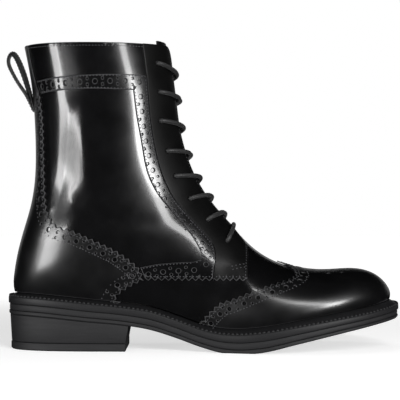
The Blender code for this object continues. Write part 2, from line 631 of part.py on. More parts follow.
def make_upper(leather_black, leather_light, lining):
    """The hollow upper with its overlays and the tongue behind the laced opening."""
    edge = throat_edge()
    slit = edge + mirrored(edge)[1:]
    upper_top = -(OVERLAY + GAP)
    leather("upper", [[(TOE, -1.0), (COLLAR, -1.0)] + slit + [(COLLAR, 1.0), (TOE, 1.0)]],
            upper_top, WALL, leather_black)

    wing = side_line(WING_LINE)
    wing[0] = (wing[0][0], -1.0)
    cap = [(TOE, -1.0)] + wing + [(WING_PEAK, 0.0)] + mirrored(wing) + [(TOE, 1.0)]
    leather("toe_cap", [cap], 0.0, OVERLAY, leather_light)

    counter = side_line(COUNTER_LINE)
    counter[0] = (counter[0][0], -1.0)
    counter[-1] = (COLLAR, counter[-1][1])
    side = counter + [(COLLAR, -1.0)]
    leather("heel_counter", [side, mirrored(side)], 0.0, OVERLAY, leather_light)

    band = side_line(BAND_OUTER_LINE + BAND_INNER_LINE)
    rear = side_line(BAND_OUTER_LINE)
    seam = SEAM_GAP / SOLE_LENGTH
    facing_rear = side_line([(share + seam, height) for share, height in BAND_OUTER_LINE[5:]])
    facing = [(COLLAR, edge[0][1] - 0.02)] + [(t, s) for t, s in edge if t > 12.2]
    facing += side_line(FACING_LOW_LINE) + facing_rear[::-1] + [(COLLAR, rear[5][1])]
    for name, turn in (("outer", lambda outline: outline), ("inner", mirrored)):
        leather("band_" + name, [turn(band)], 0.0, OVERLAY, leather_light)
        leather("eyestay_" + name, [turn(facing)], 0.0, OVERLAY, leather_black)

    tongue_top = COLLAR + TONGUE_PROUD / (COLLAR_LEVELS * (BOOT_HEIGHT - THROAT_HEIGHT))
    rows = np.linspace(11.6, tongue_top, 12)
    half = 0.5 * (THROAT_FOOT + (THROAT_TOP - THROAT_FOOT) * (rows - rows[0]) / (COLLAR - rows[0])) + TONGUE_LAP
    side = [(t, -girth_of(min(t, COLLAR), w)) for t, w in zip(rows, half)]
    leather("tongue", [side + mirrored(side)], upper_top - WALL - GAP, TONGUE_THICKNESS, lining)


def sweep(name, path, frames, profile, material):
    """Closed solid of a flat profile carried along a path; frames holds two directions a point."""
    count, sides = len(path), len(profile)
    vertices = [p + u * frame[0] + v * frame[1] for p, frame in zip(path, frames) for u, v in profile]
    polygons = []
    for k in range(count - 1):
        for j in range(sides):
            after = (j + 1) % sides
            polygons.append([k * sides + j, k * sides + after, (k + 1) * sides + after, (k + 1) * sides + j])
    polygons.append(list(range(sides))[::-1])
    polygons.append([(count - 1) * sides + j for j in range(sides)])
    return solid(name, np.array(vertices), polygons, material)


def unit(vectors):
    return vectors / np.linalg.norm(vectors, axis=-1, keepdims=True)


def lace_strand(name, start, end, material):
    """One straight run of lace over the form, between two places given as (t, s)."""
    u = np.linspace(0.0, 1.0, LACE_STATIONS)
    t, s = start[0] + (end[0] - start[0]) * u, start[1] + (end[1] - start[1]) * u
    normal = form_normal(t, s)
    path = form(t, s) + (0.5 * LACE_DIAMETER + SEAM_GAP) * normal
    tangent = unit(np.gradient(path, axis=0))
    side = unit(np.cross(tangent, normal))
    frames = np.stack([side, np.cross(side, tangent)], axis=1)
    radius = 0.5 * LACE_DIAMETER
    angles = np.arange(LACE_SIDES) * 2 * math.pi / LACE_SIDES
    return sweep(name, path, frames, [(radius * math.cos(a), radius * math.sin(a)) for a in angles], material)


def make_laces(cord):
    """Seven crossings over the opening and the straight bar at its foot."""
    places = [side_place(share, height) for share, height in EYELETS]
    for k, ((upper_t, upper_s), (lower_t, _)) in enumerate(zip(places, places[1:]), 1):
        end = girth_of(lower_t, 0.5 * THROAT_FOOT - 0.6 * LACE_DIAMETER)
        lower = lower_t + 0.2 * (upper_t - lower_t)
        strand = lace_strand("lace_crossing_%d" % k, (upper_t, upper_s), (lower, end), cord)
        other = lace_strand("lace_crossing_%d_other" % k, (upper_t, -upper_s), (lower, -end), cord)
        other.hide_render = True
        other.display_type = "WIRE"
        join = strand.modifiers.new("join", "BOOLEAN")
        join.operation = "UNION"
        join.object = other
    last_t, last_s = places[-1]
    lace_strand("lace_bar", (last_t, last_s), (last_t, -last_s), cord)


def make_pull_loop(material):
    """Strap folded into a loop, with both ends on the back of the shaft."""
    behind, up = np.array(LOOP_ROUTE).T
    u = np.linspace(0.0, len(behind) - 1.0, LOOP_STATIONS)
    z = LOOP_FOOT + LOOP_HEIGHT * b_spline(up, u)
    t = np.linspace(HEEL, COLLAR, 200)
    seam = form(t, t * 0.0 - 1.0)
    x = np.interp(z, seam[:, 2], seam[:, 0]) - LOOP_HEIGHT * b_spline(behind, u)
    path = np.stack([x, x * 0.0, z], -1)
    lean = LOOP_YAW * np.clip((z - LOOP_FOOT) / LOOP_HEIGHT, 0.0, 1.0)
    across = unit(np.stack([-lean, x * 0.0 + 1.0, x * 0.0], -1))
    tangent = unit(np.gradient(path, axis=0))
    frames = np.stack([across, unit(np.cross(tangent, across))], axis=1)
    w, h = 0.5 * LOOP_WIDTH, 0.5 * LOOP_THICKNESS
    sweep("pull_loop", path, frames, [(-w, -h), (w, -h), (w, h), (-w, h)], material)


def main():
    for old in list(bpy.data.objects):
        bpy.data.objects.remove(old, do_unlink=True)
    rubber = finish("sole rubber", *RUBBER)
    make_sole(rubber, finish("top piece rubber", *RUBBER), finish("insole leather", *LINING))
    black = finish("brush-off leather", *LEATHER)
    light = finish("brush-off leather overlay", *LEATHER_LIGHT)
    make_upper(black, light, finish("tongue leather", *LINING))
    make_laces(finish("waxed cotton lace", *CORD))
    make_pull_loop(finish("strap leather", *LEATHER_LIGHT))


main()
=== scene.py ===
# Black brogue lace-up ankle boot for the right foot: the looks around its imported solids.
# Metres. +X runs to the toe, +Y to the inner side of the foot, +Z up, origin on the floor under the heel.
import math

import bpy
import numpy as np
from mathutils import Matrix, Vector
from mathutils.geometry import delaunay_2d_cdt


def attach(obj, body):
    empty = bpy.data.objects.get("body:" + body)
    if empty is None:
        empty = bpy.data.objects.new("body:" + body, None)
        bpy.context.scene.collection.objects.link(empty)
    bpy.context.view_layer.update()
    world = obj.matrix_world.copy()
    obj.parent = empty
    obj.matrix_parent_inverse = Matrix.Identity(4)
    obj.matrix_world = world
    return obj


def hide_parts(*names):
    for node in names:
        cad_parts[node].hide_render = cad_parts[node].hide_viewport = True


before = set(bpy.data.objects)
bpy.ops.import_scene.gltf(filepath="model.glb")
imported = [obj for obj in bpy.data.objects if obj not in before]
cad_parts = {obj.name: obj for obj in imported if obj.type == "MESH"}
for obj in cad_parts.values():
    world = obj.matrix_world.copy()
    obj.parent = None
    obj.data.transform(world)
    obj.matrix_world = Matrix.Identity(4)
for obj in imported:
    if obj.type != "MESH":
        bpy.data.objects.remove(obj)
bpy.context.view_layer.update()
print("frame loaded")

# The boot's form: sizes in metres, and sections as shares of them, from the toe to the collar.
boot = {
    "soleLength": 0.276, "heelCentre": 0.0432, "ballWidth": 0.095, "heelHeight": 0.0370, "ballHeight": 0.0125,
    "toeHeight": 0.0314, "soleThickness": 0.0125, "throatHeight": 0.079, "bootHeight": 0.212,
    "shaftWidth": 0.080, "weltRise": 0.0042, "weltGap": 0.0005, "weltMargin": 0.0060}
# keel, sunk, ridge, level, crown, fullOuter, fullInner, lowOuter, lowInner of each section of the foot
footSections = np.array((
    (0.955, 0.086, 0.955, 0.335, 0.053, 0.000, 0.000, 0.95, 0.95),
    (0.948, 0.133, 0.984, 0.455, 0.053, 0.140, 0.134, 0.95, 0.95),
    (0.932, 0.142, 0.974, 0.552, 0.053, 0.236, 0.216, 0.95, 0.95),
    (0.910, 0.160, 0.951, 0.641, 0.053, 0.310, 0.272, 0.95, 0.95),
    (0.879, 0.199, 0.919, 0.695, 0.053, 0.376, 0.316, 0.95, 0.94),
    (0.839, 0.228, 0.879, 0.713, 0.053, 0.432, 0.345, 0.95, 0.92),
    (0.796, 0.248, 0.830, 0.697, 0.052, 0.471, 0.363, 0.95, 0.90),
    (0.751, 0.276, 0.780, 0.697, 0.050, 0.498, 0.372, 0.95, 0.87),
    (0.702, 0.322, 0.727, 0.729, 0.046, 0.509, 0.372, 0.95, 0.82),
    (0.649, 0.377, 0.676, 0.789, 0.042, 0.506, 0.360, 0.95, 0.70),
    (0.591, 0.403, 0.629, 0.898, 0.037, 0.480, 0.334, 0.93, 0.50),
    (0.522, 0.413, 0.600, 1.002, 0.032, 0.438, 0.308, 0.88, 0.31),
    (0.446, 0.438, 0.577, 1.050, 0.025, 0.402, 0.294, 0.79, 0.19),
    (0.363, 0.452, 0.557, 1.093, 0.019, 0.378, 0.295, 0.69, 0.18),
    (0.276, 0.408, 0.541, 1.132, 0.013, 0.364, 0.308, 0.64, 0.29),
    (0.186, 0.366, 0.527, 1.168, 0.007, 0.357, 0.326, 0.68, 0.51),
    (0.102, 0.299, 0.515, 1.205, 0.003, 0.355, 0.343, 0.86, 0.82),
    (0.044, 0.167, 0.504, 1.242, 0.001, 0.355, 0.350, 1.13, 1.12),
    (0.008, 0.005, 0.493, 1.284, 0.000, 0.357, 0.355, 1.28, 1.28))).T
# keel, height, ridge, level, half, low of each section of the shaft
shaftSections = np.array((
    (0.0138, 0.082, 0.480, 1.332, 0.428, 1.28), (0.0217, 0.173, 0.468, 1.391, 0.431, 1.25),
    (0.0413, 0.266, 0.456, 1.462, 0.436, 1.22), (0.0601, 0.362, 0.445, 1.545, 0.444, 1.20),
    (0.0688, 0.472, 0.438, 1.633, 0.455, 1.18), (0.0696, 0.582, 0.433, 1.723, 0.467, 1.15),
    (0.0674, 0.704, 0.427, 1.815, 0.480, 1.15), (0.0594, 0.849, 0.422, 1.907, 0.491, 1.15),
    (0.0406, 1.000, 0.417, 2.000, 0.500, 1.15), (0.0207, 1.151, 0.412, 2.093, 0.507, 1.15))).T
# along, heel, toe, thick of the sole's side view
soleProfile = np.array((
    (0.000, 1.000, 0.000, 1.00), (0.078, 0.972, 0.000, 1.00), (0.215, 0.820, 0.000, 0.98),
    (0.303, 0.718, 0.000, 0.96), (0.370, 0.596, 0.000, 0.98), (0.428, 0.384, 0.000, 0.96),
    (0.493, 0.126, 0.000, 0.96), (0.537, 0.024, 0.000, 1.02), (0.580, 0.000, 0.000, 1.06),
    (0.635, 0.000, 0.063, 1.06), (0.734, 0.000, 0.307, 0.92), (0.834, 0.000, 0.561, 0.80),
    (0.917, 0.000, 0.757, 0.72), (1.000, 0.000, 1.000, 0.72))).T
collar = 27.0               # the section of the topline
layers = {"upper": -0.0012, "wall": 0.0018, "overlay": 0.0009, "tongue": -0.0037, "tongueThick": 0.0016}
nets = {"upper": 0.0026, "cap": 0.0022, "counter": 0.0024, "band": 0.0022, "facing": 0.0024, "tongue": 0.0024,
        "edge": 0.0014, "seam": 0.0016}      # mesh size of each piece, and of its plain edges


# vectors divided by their lengths
def unit(vectors):
    return vectors / np.maximum(np.linalg.norm(vectors, axis=-1, keepdims=True), 1e-12)


# distance run along a line of points, from the first to each
def runLength(points):
    return np.concatenate([[0.0], np.cumsum(np.linalg.norm(np.diff(points, axis=0), axis=1))])


# the columns of a table read off at places along it, straight between its rows
def sample(places, knots, table):
    return np.stack([np.interp(places, knots, column) for column in table.T], axis=-1)


# a uniform cubic B-spline: four neighbouring values weighted by the cubic basis at t
def bSpline(values, t):
    points = np.concatenate([[2 * values[0] - values[1]], values, [2 * values[-1] - values[-2]]])
    t = np.clip(t, 0.0, len(values) - 1.0)
    i = np.minimum(t.astype(int), len(values) - 2)
    f = t - i
    weights = ((1 - f) ** 3, 3 * f ** 3 - 6 * f ** 2 + 4, -3 * f ** 3 + 3 * f ** 2 + 3 * f + 1, f ** 3)
    return sum(w * points[i + k] for k, w in enumerate(weights)) / 6.0


# a cubic through the points, each slope taken from the two neighbours
def through(xs, ys, x):
    slope = np.gradient(ys, xs)
    i = np.clip(np.searchsorted(xs, x) - 1, 0, len(xs) - 2)
    h = xs[i + 1] - xs[i]
    f = np.clip((x - xs[i]) / h, 0.0, 1.0)
    bend = f * (1 - f) * ((1 - f) * slope[i] - f * slope[i + 1]) * h
    return ys[i] + f * f * (3 - 2 * f) * (ys[i + 1] - ys[i]) + bend


# how far along the sole x lies, 0 at the heel and 1 at the toe
def soleShare(x):
    return (np.asarray(x) + boot["heelCentre"]) / boot["soleLength"]


# the sole's upper edge: ball height, plus the heel's and the toe's rise along the profile
def edgeHeight(x):
    heel, toe = (through(soleProfile[0], soleProfile[k], soleShare(x)) for k in (1, 2))
    return (boot["ballHeight"] + (boot["heelHeight"] - boot["ballHeight"]) * heel
            + (boot["toeHeight"] - boot["ballHeight"]) * toe)


# the sole's thickness at x: its size times the profile's share
def thickness(x):
    return boot["soleThickness"] * through(soleProfile[0], soleProfile[3], soleShare(x))


# the welt's upper side: the sole's edge plus a rise that grows towards the toe
def seatHeight(x):
    return edgeHeight(x) + boot["weltRise"] * (0.58 + 0.42 * soleShare(x))


# height as a function of x, a share of the sole's thickness and a gap under its upper edge
def depth(share, gap=0.0):
    return lambda x: np.maximum(edgeHeight(x) - thickness(x) * share - gap, 0.0)


# where the upper ends: a small gap over the welt
def weltTop(x):
    return seatHeight(x) + boot["weltGap"]


# x in metres of a share of the sole's length
def along(share):
    return np.asarray(share) * boot["soleLength"] - boot["heelCentre"]


# ridge, keel, crown and widths at the sections t, each a spline over the tables
def guides(t):
    keel, keelFoot, ridge, ridgeRise, crown, fullOuter, fullInner, lowOuter, lowInner = footSections
    shaftKeel, keelShaft, shaftRidge, shaftRise, half, low = shaftSections
    keelX = along(np.append(keel, shaftKeel))
    heelZ = weltTop(keelX[len(keel) - 1])
    keelZ = np.append(weltTop(keelX[:len(keel)]) - boot["throatHeight"] * keelFoot,
                      heelZ + (boot["bootHeight"] - heelZ) * keelShaft)
    rise = np.append(ridgeRise, shaftRise)
    ridgeZ = (boot["throatHeight"] * np.minimum(rise, 1.0)
              + (boot["bootHeight"] - boot["throatHeight"]) * np.maximum(rise - 1.0, 0.0))
    ridgeZ[0] = keelZ[0]
    half = boot["shaftWidth"] * half
    rows = [keelX, keelZ, along(np.append(ridge, shaftRidge)), ridgeZ]
    rows += [np.append(boot["ballWidth"] * foot, shaft) for foot, shaft in (
        (crown, 0.0 * half), (fullOuter, half), (fullInner, half))]
    rows += [np.append(lowOuter, low), np.append(lowInner, low)]
    return [bSpline(row, t) for row in rows]


# an oval: 3a^2 - 2a^3 of the way from ridge to keel, swollen by 3a(1-a)((1-a) top + a low top)
def ovalPoint(g, a):
    keelX, keelZ, ridgeX, ridgeZ, crown, fullOuter, fullInner, lowOuter, lowInner = g
    b = np.abs(a)
    drop = 3 * b ** 2 - 2 * b ** 3
    full, low = np.where(a < 0, fullOuter, fullInner), np.where(a < 0, lowOuter, lowInner)
    width = 3 * b * (1 - b) * ((1 - b) + b * low) * full / (0.375 * (1.0 + low))
    return np.stack([ridgeX + drop * (keelX - ridgeX), crown + np.where(a < 0, -width, width),
                     ridgeZ + drop * (keelZ - ridgeZ)], axis=-1)


# a point of the outer form at section t and place a on its oval: 0 ridge, -1 and 1 keel or back seam
def form(t, a):
    t, a = np.broadcast_arrays(np.asarray(t, float), np.asarray(a, float))
    return ovalPoint(guides(t), a)


# the last value between low and high that passes a test, by halving the step 44 times
def halve(test, low, high):
    for _ in range(44):
        middle = 0.5 * (low + high)
        passed = test(middle)
        low, high = np.where(passed, middle, low), np.where(passed, high, middle)
    return low


# how far round each oval the sole cuts it off
def endShare(t):
    g = guides(np.asarray(t, float))

    def clear(a):
        drop = 3 * a ** 2 - 2 * a ** 3
        x, z = g[2] + drop * (g[0] - g[2]), g[3] + drop * (g[1] - g[3])
        return z > weltTop(x)
    last = halve(clear, 0.0 * g[0], 0.0 * g[0] + 1.0)
    return np.where(g[1] >= weltTop(g[0]) - 1e-9, 1.0, last)


# the section where the keel (first 0) or the ridge (first 2) rises over the welt
def crossingSection(first, low, high):
    def below(t):
        g = guides(t)
        return g[first + 1] < weltTop(g[first])
    return float(halve(below, np.array([low]), np.array([high]))[0])


toeSection = crossingSection(2, 0.0, 3.0)
heelSection = crossingSection(0, 16.0, 20.0) + 1e-6


# outward unit normal: the cross product of the two ways along the form
def formNormal(t, a, step=0.004):
    t, a = np.broadcast_arrays(np.asarray(t, float), np.asarray(a, float))
    girth = form(t, np.minimum(a + step, 1.0)) - form(t, np.maximum(a - step, -1.0))
    girth = np.where((np.abs(a) > 1 - step)[..., None], np.array([0.0, -1.0, 0.0]), girth)
    return unit(np.cross(girth, form(t + 0.5 * step, a) - form(t - 0.5 * step, a)))


# soft creases of the worn-in leather, each a line in the side view with a half width and a height in metres
creases = (
    (((0.112, 0.84), (0.120, 0.76), (0.126, 0.69), (0.132, 0.61), (0.139, 0.53), (0.155, 0.46)), 0.0078, -0.00020),
    (((0.190, 0.78), (0.198, 0.70), (0.205, 0.62), (0.212, 0.55)), 0.0085, 0.00080),
    (((0.106, 0.80), (0.107, 0.72), (0.110, 0.63), (0.112, 0.54), (0.118, 0.46)), 0.0014, 0.00016),
    (((0.195, 0.475), (0.225, 0.44), (0.205, 0.41)), 0.0075, -0.00060),
    (((0.05, 0.325), (0.10, 0.318), (0.15, 0.305), (0.20, 0.285)), 0.0120, -0.00040),
    (((0.23, 0.43), (0.30, 0.41), (0.36, 0.42)), 0.0060, -0.00030),
    (((0.35, 0.285), (0.45, 0.272), (0.51, 0.285)), 0.0095, 0.00080),
    (((0.55, 0.265), (0.565, 0.225), (0.57, 0.19)), 0.0060, -0.00045),
    (((0.59, 0.29), (0.605, 0.25), (0.61, 0.21)), 0.0050, 0.00030))


# lift of the creases: height * exp(-(distance / width)^2), and a slow wave of the whole leather
def creaseLift(points):
    lift = (0.00006 * np.sin(points[..., 2] * 95.0 + points[..., 0] * 40.0)
            + 0.00005 * np.sin(points[..., 0] * 120.0 - points[..., 2] * 60.0 + points[..., 1] * 50.0))
    for line, width, height in creases:
        line = np.array(line)
        u = np.linspace(0.0, len(line) - 1.0, 50)
        x, z = along(bSpline(line[:, 0], u)), boot["bootHeight"] * bSpline(line[:, 1], u)
        far = np.full(points.shape[:-1], 1.0)
        for px, pz in zip(x, z):
            far = np.minimum(far, (points[..., 0] - px) ** 2 + (points[..., 2] - pz) ** 2)
        lift = lift + height * np.exp(-far / width ** 2)
    return lift


# a layer of leather: the form moved along its normal by lift and by the creases
def skin(t, a, lift, creased=True):
    points = form(t, a)
    lift = lift + (creaseLift(points) if creased else 0.0)
    return points + np.asarray(lift)[..., None] * formNormal(t, a)


# outward unit normal of such a layer, from its own two ways
def skinNormal(t, a, lift, creased=True, step=0.01):
    girth = skin(t, np.minimum(a + step, 1.0), lift, creased) - skin(t, np.maximum(a - step, -1.0), lift, creased)
    girth = np.where((np.abs(a) > 1 - step)[..., None], np.array([0.0, -1.0, 0.0]), girth)
    return unit(np.cross(girth, skin(t + 4 * step, a, lift, creased) - skin(t - 4 * step, a, lift, creased)))


sideNet = {"t": np.linspace(toeSection, collar, 700), "a": np.linspace(-1.0, 0.0, 201)}
sideNet["points"] = form(sideNet["t"][:, None], sideNet["a"][None, :])


# the (t, a) on the outer side whose point has this place and height in the side view, by Newton steps
def sidePlace(share, height):
    target = np.array([along(share), height * boot["bootHeight"]])
    off = np.sum((sideNet["points"][:, :, (0, 2)] - target) ** 2, axis=-1)
    i, j = np.unravel_index(np.argmin(off), off.shape)
    place = np.array([sideNet["t"][i], sideNet["a"][j]])
    for _ in range(4):
        here = form(*place)[[0, 2]]
        slope = np.stack([form(place[0] + 1e-3, place[1])[[0, 2]] - here,
                          form(place[0], min(place[1] + 1e-3, 0.0))[[0, 2]] - here], axis=-1) / 1e-3
        move = np.linalg.lstsq(slope, target - here, rcond=1e-2)[0]
        place = np.clip(place + np.clip(move, -0.1, 0.1), [toeSection, -1.0], [collar, 0.0])
    return place


# the same for each row of a table
def sidePlaces(table):
    return np.array([sidePlace(*row) for row in table])


# a smooth curve through places, with a point every 0.5 mm of its length on the form
def smoothLine(places, smooth=True):
    places = np.asarray(places, float)
    chord = np.linalg.norm(np.diff(form(*places.T), axis=0), axis=1)
    knots = np.concatenate([[0.0], np.cumsum(np.maximum(chord, 1e-6))])
    u = np.linspace(0.0, knots[-1], max(int(knots[-1] / 0.0005), 4))
    if smooth and len(places) > 2:
        return np.stack([through(knots, column, u) for column in places.T], axis=-1)
    return sample(u, knots, places)


# places at distances along a line, moved sideways over the form by offset metres (left of travel is plus)
def walk(line, distances, offset=0.0, reach=0.0008):
    points = form(*line.T)
    length = runLength(points)
    places = sample(distances, length, line)
    ahead = unit(sample(distances + reach, length, points) - sample(distances - reach, length, points))
    left = np.cross(formNormal(*places.T), ahead)
    return shift(places, left * np.reshape(offset, (-1, 1)))


# length in metres of a line of places
def lengthOf(line):
    return float(runLength(form(*line.T))[-1])


# moves places over the form by small vectors: least squares on the two tangents
def shift(places, vectors):
    t, a = places[..., 0], places[..., 1]
    alongT = (form(t + 1e-3, a) - form(t - 1e-3, a)) / 2e-3
    alongA = (form(t, a + 1e-3) - form(t, a - 1e-3)) / 2e-3
    tt, ta, aa = (np.sum(p * q, axis=-1) for p, q in ((alongT, alongT), (alongT, alongA), (alongA, alongA)))
    vt, va = np.sum(alongT * vectors, axis=-1), np.sum(alongA * vectors, axis=-1)
    det = np.maximum(tt * aa - ta * ta, 1e-14)
    return places + np.stack([(vt * aa - va * ta) / det, (va * tt - vt * ta) / det], axis=-1)


# a pinked edge: the line moved in and out by a rounded triangle wave of one tooth's pitch and depth
def pinked(line, inward):
    length = lengthOf(line)
    teeth = max(int(round(length / panels["toothPitch"])), 1)
    distances = np.linspace(0.0, length, teeth * 6 + 1)
    phase = distances / length * teeth
    wave = 1.0 - np.abs(2.0 * (phase - np.floor(phase)) - 1.0)
    wave = np.clip(1.25 * wave - 0.12, 0.0, 1.0)
    return walk(line, distances, inward * panels["toothDepth"] * (1.0 - wave))


# rings of places round the centres, each a true circle on the form
def rings(centres, radius, sides=10):
    turn = np.linspace(0.0, 2 * math.pi, sides, endpoint=False)
    first = unit(form(centres[:, 0] + 1e-3, centres[:, 1]) - form(*centres.T))
    second = np.cross(formNormal(*centres.T), first)
    vectors = radius * (np.cos(turn)[:, None] * first[:, None] + np.sin(turn)[:, None] * second[:, None])
    return list(shift(np.repeat(centres[:, None], sides, axis=1), vectors))


# ties a piece to the boot's one body and hides the solids that it stands for; slot is not used
def dress(piece, slot, *nodes):
    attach(piece, "root")
    if nodes:
        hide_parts(*nodes)


# sRGB hex to linear: v / 12.92 when dark, else ((v + 0.055) / 1.055) ^ 2.4
def linear(code):
    values = [int(code[k:k + 2], 16) / 255.0 for k in (1, 3, 5)]
    return tuple(v / 12.92 if v <= 0.04045 else ((v + 0.055) / 1.055) ** 2.4 for v in values) + (1.0,)


# a mesh object from points and triangles; loopNormals holds a normal for each corner
def meshFrom(name, points, triangles, materials, slots=None, loopNormals=None, uv=None, sharp=None):
    mesh = bpy.data.meshes.new(name)
    mesh.vertices.add(len(points))
    mesh.vertices.foreach_set("co", np.asarray(points, np.float32).ravel())
    mesh.loops.add(3 * len(triangles))
    mesh.loops.foreach_set("vertex_index", np.asarray(triangles, np.int32).ravel())
    mesh.polygons.add(len(triangles))
    mesh.polygons.foreach_set("loop_start", np.arange(0, 3 * len(triangles), 3, dtype=np.int32))
    mesh.polygons.foreach_set("loop_total", np.full(len(triangles), 3, np.int32))
    mesh.polygons.foreach_set("use_smooth", np.ones(len(triangles), bool))
    for material in materials:
        mesh.materials.append(material)
    if slots is not None:
        mesh.polygons.foreach_set("material_index", np.asarray(slots, np.int32))
    if uv is not None:
        layer = mesh.uv_layers.new(name="UVMap")
        layer.data.foreach_set("uv", np.asarray(uv, np.float32).ravel())
    mesh.update(calc_edges=True)
    if sharp is not None:
        mesh.set_sharp_from_angle(angle=math.radians(sharp))
    if loopNormals is not None:
        mesh.normals_split_custom_set(np.asarray(loopNormals, np.float32).reshape(-1, 3).tolist())
    made = bpy.data.objects.new(name, mesh)
    bpy.context.scene.collection.objects.link(made)
    return made


# which triangles have three corners of their own
def whole(triangles):
    return ((triangles[:, 0] != triangles[:, 1]) & (triangles[:, 1] != triangles[:, 2])
            & (triangles[:, 2] != triangles[:, 0]))


# for each point, the first one that lies within a micrometre of it
def firstTwin(points):
    keys = np.round(points * 1e6).astype(np.int64)
    _, first, back = np.unique(keys, axis=0, return_index=True, return_inverse=True)
    return first, back.reshape(-1)


netScale = np.array([0.0095, 0.130])    # metres of form in one section and in one unit of a, roughly


# even-odd rule: a point is inside where a ray to its right crosses the loops an odd number of times
def insideOf(points, starts, ends):
    crossings = np.zeros(len(points), int)
    for k in range(0, len(starts), 256):
        (ax, ay), (bx, by) = starts[k:k + 256].T, ends[k:k + 256].T
        spans = (ay[None] > points[:, 1:]) != (by[None] > points[:, 1:])
        reach = ax + (points[:, 1:] - ay) * (bx - ax) / np.where(by == ay, 1.0, by - ay)
        crossings += np.sum(spans & (reach > points[:, :1]), axis=1)
    return crossings % 2 == 1


# triangles between closed loops of places: Delaunay over the loops, a row of points beside each and a staggered net
def cutNet(loops, spacing, beside=0.00035):
    border = np.concatenate(loops) * netScale
    starts = np.concatenate([[0], np.cumsum([len(loop) for loop in loops])]).tolist()
    edges = [(s + k, s + (k + 1) % (e - s)) for s, e in zip(starts, starts[1:]) for k in range(e - s)]
    begin, end = (border[[pair[side] for pair in edges]] for side in (0, 1))
    low, high = border.min(axis=0), border.max(axis=0)
    rows = np.arange(low[1] + 0.4 * spacing, high[1], spacing * 0.87)
    columns = np.arange(low[0] + 0.4 * spacing, high[0], spacing)
    stagger = 0.5 * spacing * (np.arange(len(rows)) % 2)[:, None]
    net = np.stack(np.broadcast_arrays(columns + stagger, rows[:, None]), axis=-1).reshape(-1, 2)
    sideways = unit((end - begin)[:, ::-1] * np.array([1.0, -1.0]))
    row = np.concatenate([0.5 * (begin + end) + sign * beside * sideways for sign in (-1, 1)])
    row = row[insideOf(row, begin, end)]

    def distance(places):
        near = np.full(len(places), 1.0)
        for part in np.array_split(border, max(len(border) // 60, 1)):
            near = np.minimum(near, np.min(np.sum((places[:, None] - part[None]) ** 2, axis=-1), axis=1))
        return np.sqrt(near)
    row = row[distance(row) > 0.7 * beside]
    net = np.concatenate([row, net[distance(net) > 0.45 * spacing]])
    points = [Vector(p) for p in (np.concatenate([border, net]) * 1000.0).tolist()]
    flat, _, faces, _, _, _ = delaunay_2d_cdt(points, edges, [], 0, 1e-5, False)
    flat = np.array([tuple(p) for p in flat]) / 1000.0
    faces = np.array([list(face) for face in faces])
    inside = insideOf(flat[faces].mean(axis=1), begin, end)
    first, second = flat[faces[:, 1]] - flat[faces[:, 0]], flat[faces[:, 2]] - flat[faces[:, 0]]
    big = np.abs(first[:, 0] * second[:, 1] - first[:, 1] * second[:, 0]) > 1e-10
    used, faces = np.unique(faces[inside & big], return_inverse=True)
    return flat[used] / netScale, faces.reshape(-1, 3)


# a piece of leather: the net at two depths, joined by a cut edge round every border. Its materials are those of
# face, back, cut edge and punched rims, the last two greyer with a painted highlight; along the lines given the
# face's outer row takes the cut edge's painted highlight too
def cutPiece(name, loops, top, thick, spacing, materials, creased=True, bevel=0.00022, glintLines=()):
    flat, faces = cutNet(loops, spacing)
    t, a = flat.T
    outer, inner = skin(t, a, top, creased), skin(t, a, top - thick, creased)
    normal = skinNormal(t, a, top, creased)
    first, back = firstTwin(outer)
    welded = first[back][faces]
    welded = welded[whole(welded)]
    corners = outer[welded]
    turned = np.cross(corners[:, 1] - corners[:, 0], corners[:, 2] - corners[:, 0])
    facing = np.sum(turned * normal[welded[:, 0]], axis=1)
    welded = np.where((facing < 0)[:, None], welded[:, ::-1], welded)
    count = len(outer)
    way = np.concatenate([welded[:, (0, 1)], welded[:, (1, 2)], welded[:, (2, 0)]]).astype(np.int64)
    rim = way[~np.isin(way[:, 0] * count + way[:, 1], way[:, 1] * count + way[:, 0])]
    p, q = rim.T
    out = np.cross(unit(outer[q] - outer[p]), normal[p])
    outAt = np.zeros_like(outer)
    np.add.at(outAt, p, out)
    np.add.at(outAt, q, out)
    outAt = unit(outAt)
    border = np.unique(rim)
    outer[border] -= bevel * normal[border]
    # top faces along the lines given (the pinked edges) take the cut edge's colour: a painted highlight on the teeth
    toothGlint = np.zeros(len(welded), bool)
    for line in glintLines:
        off = np.sum(((flat[border][:, None] - line[None]) * netScale) ** 2, axis=-1).min(axis=1)
        toothGlint |= np.isin(welded, border[off < 1e-12]).any(axis=1)
    # with a fourth material, the top faces next to every other border take the punched rim's colour: a faint painted
    # highlight round holes and plain edges
    punched = np.isin(welded, border).any(axis=1) & ~toothGlint & (len(materials) > 3)
    triangles = np.concatenate([welded, welded[:, ::-1] + count, np.stack([q, p, p + count], 1),
                                np.stack([q, p + count, q + count], 1)])
    edgeTop = unit(outAt + 0.9 * normal)      # the cut edge is rolled over a little
    rolled = unit(normal + 0.85 * outAt)
    loopNormals = np.concatenate([rolled[welded], -normal[welded[:, ::-1]],
                                  np.stack([edgeTop[q], edgeTop[p], outAt[p]], 1),
                                  np.stack([edgeTop[q], outAt[p], outAt[q]], 1)])
    slots = np.concatenate([2 * toothGlint + 3 * punched, np.ones(len(welded)), np.full(2 * len(rim), 2)])
    return meshFrom(name, np.concatenate([outer, inner]), triangles, materials, slots, loopNormals)


# a surface between lines of equal length, lines[k][j]; closed round the lines where ring is set
def railGrid(lines, ring=True):
    count, length = len(lines), len(lines[0])
    k = np.arange(count if ring else count - 1)[:, None]
    j = np.arange(length - 1)[None, :]
    a, b = k * length + j, k * length + j + 1
    c, d = (k + 1) % count * length + j + 1, (k + 1) % count * length + j
    quads = np.stack(np.broadcast_arrays(a, b, c, d), axis=-1).reshape(-1, 4)
    return np.concatenate([quads[:, (0, 1, 2)], quads[:, (0, 2, 3)]])


# signed volume of a closed mesh: a sixth of the sum of a . (b x c)
def volumeOf(points, triangles):
    corners = points[triangles]
    return np.sum(corners[:, 0] * np.cross(corners[:, 1], corners[:, 2])) / 6.0


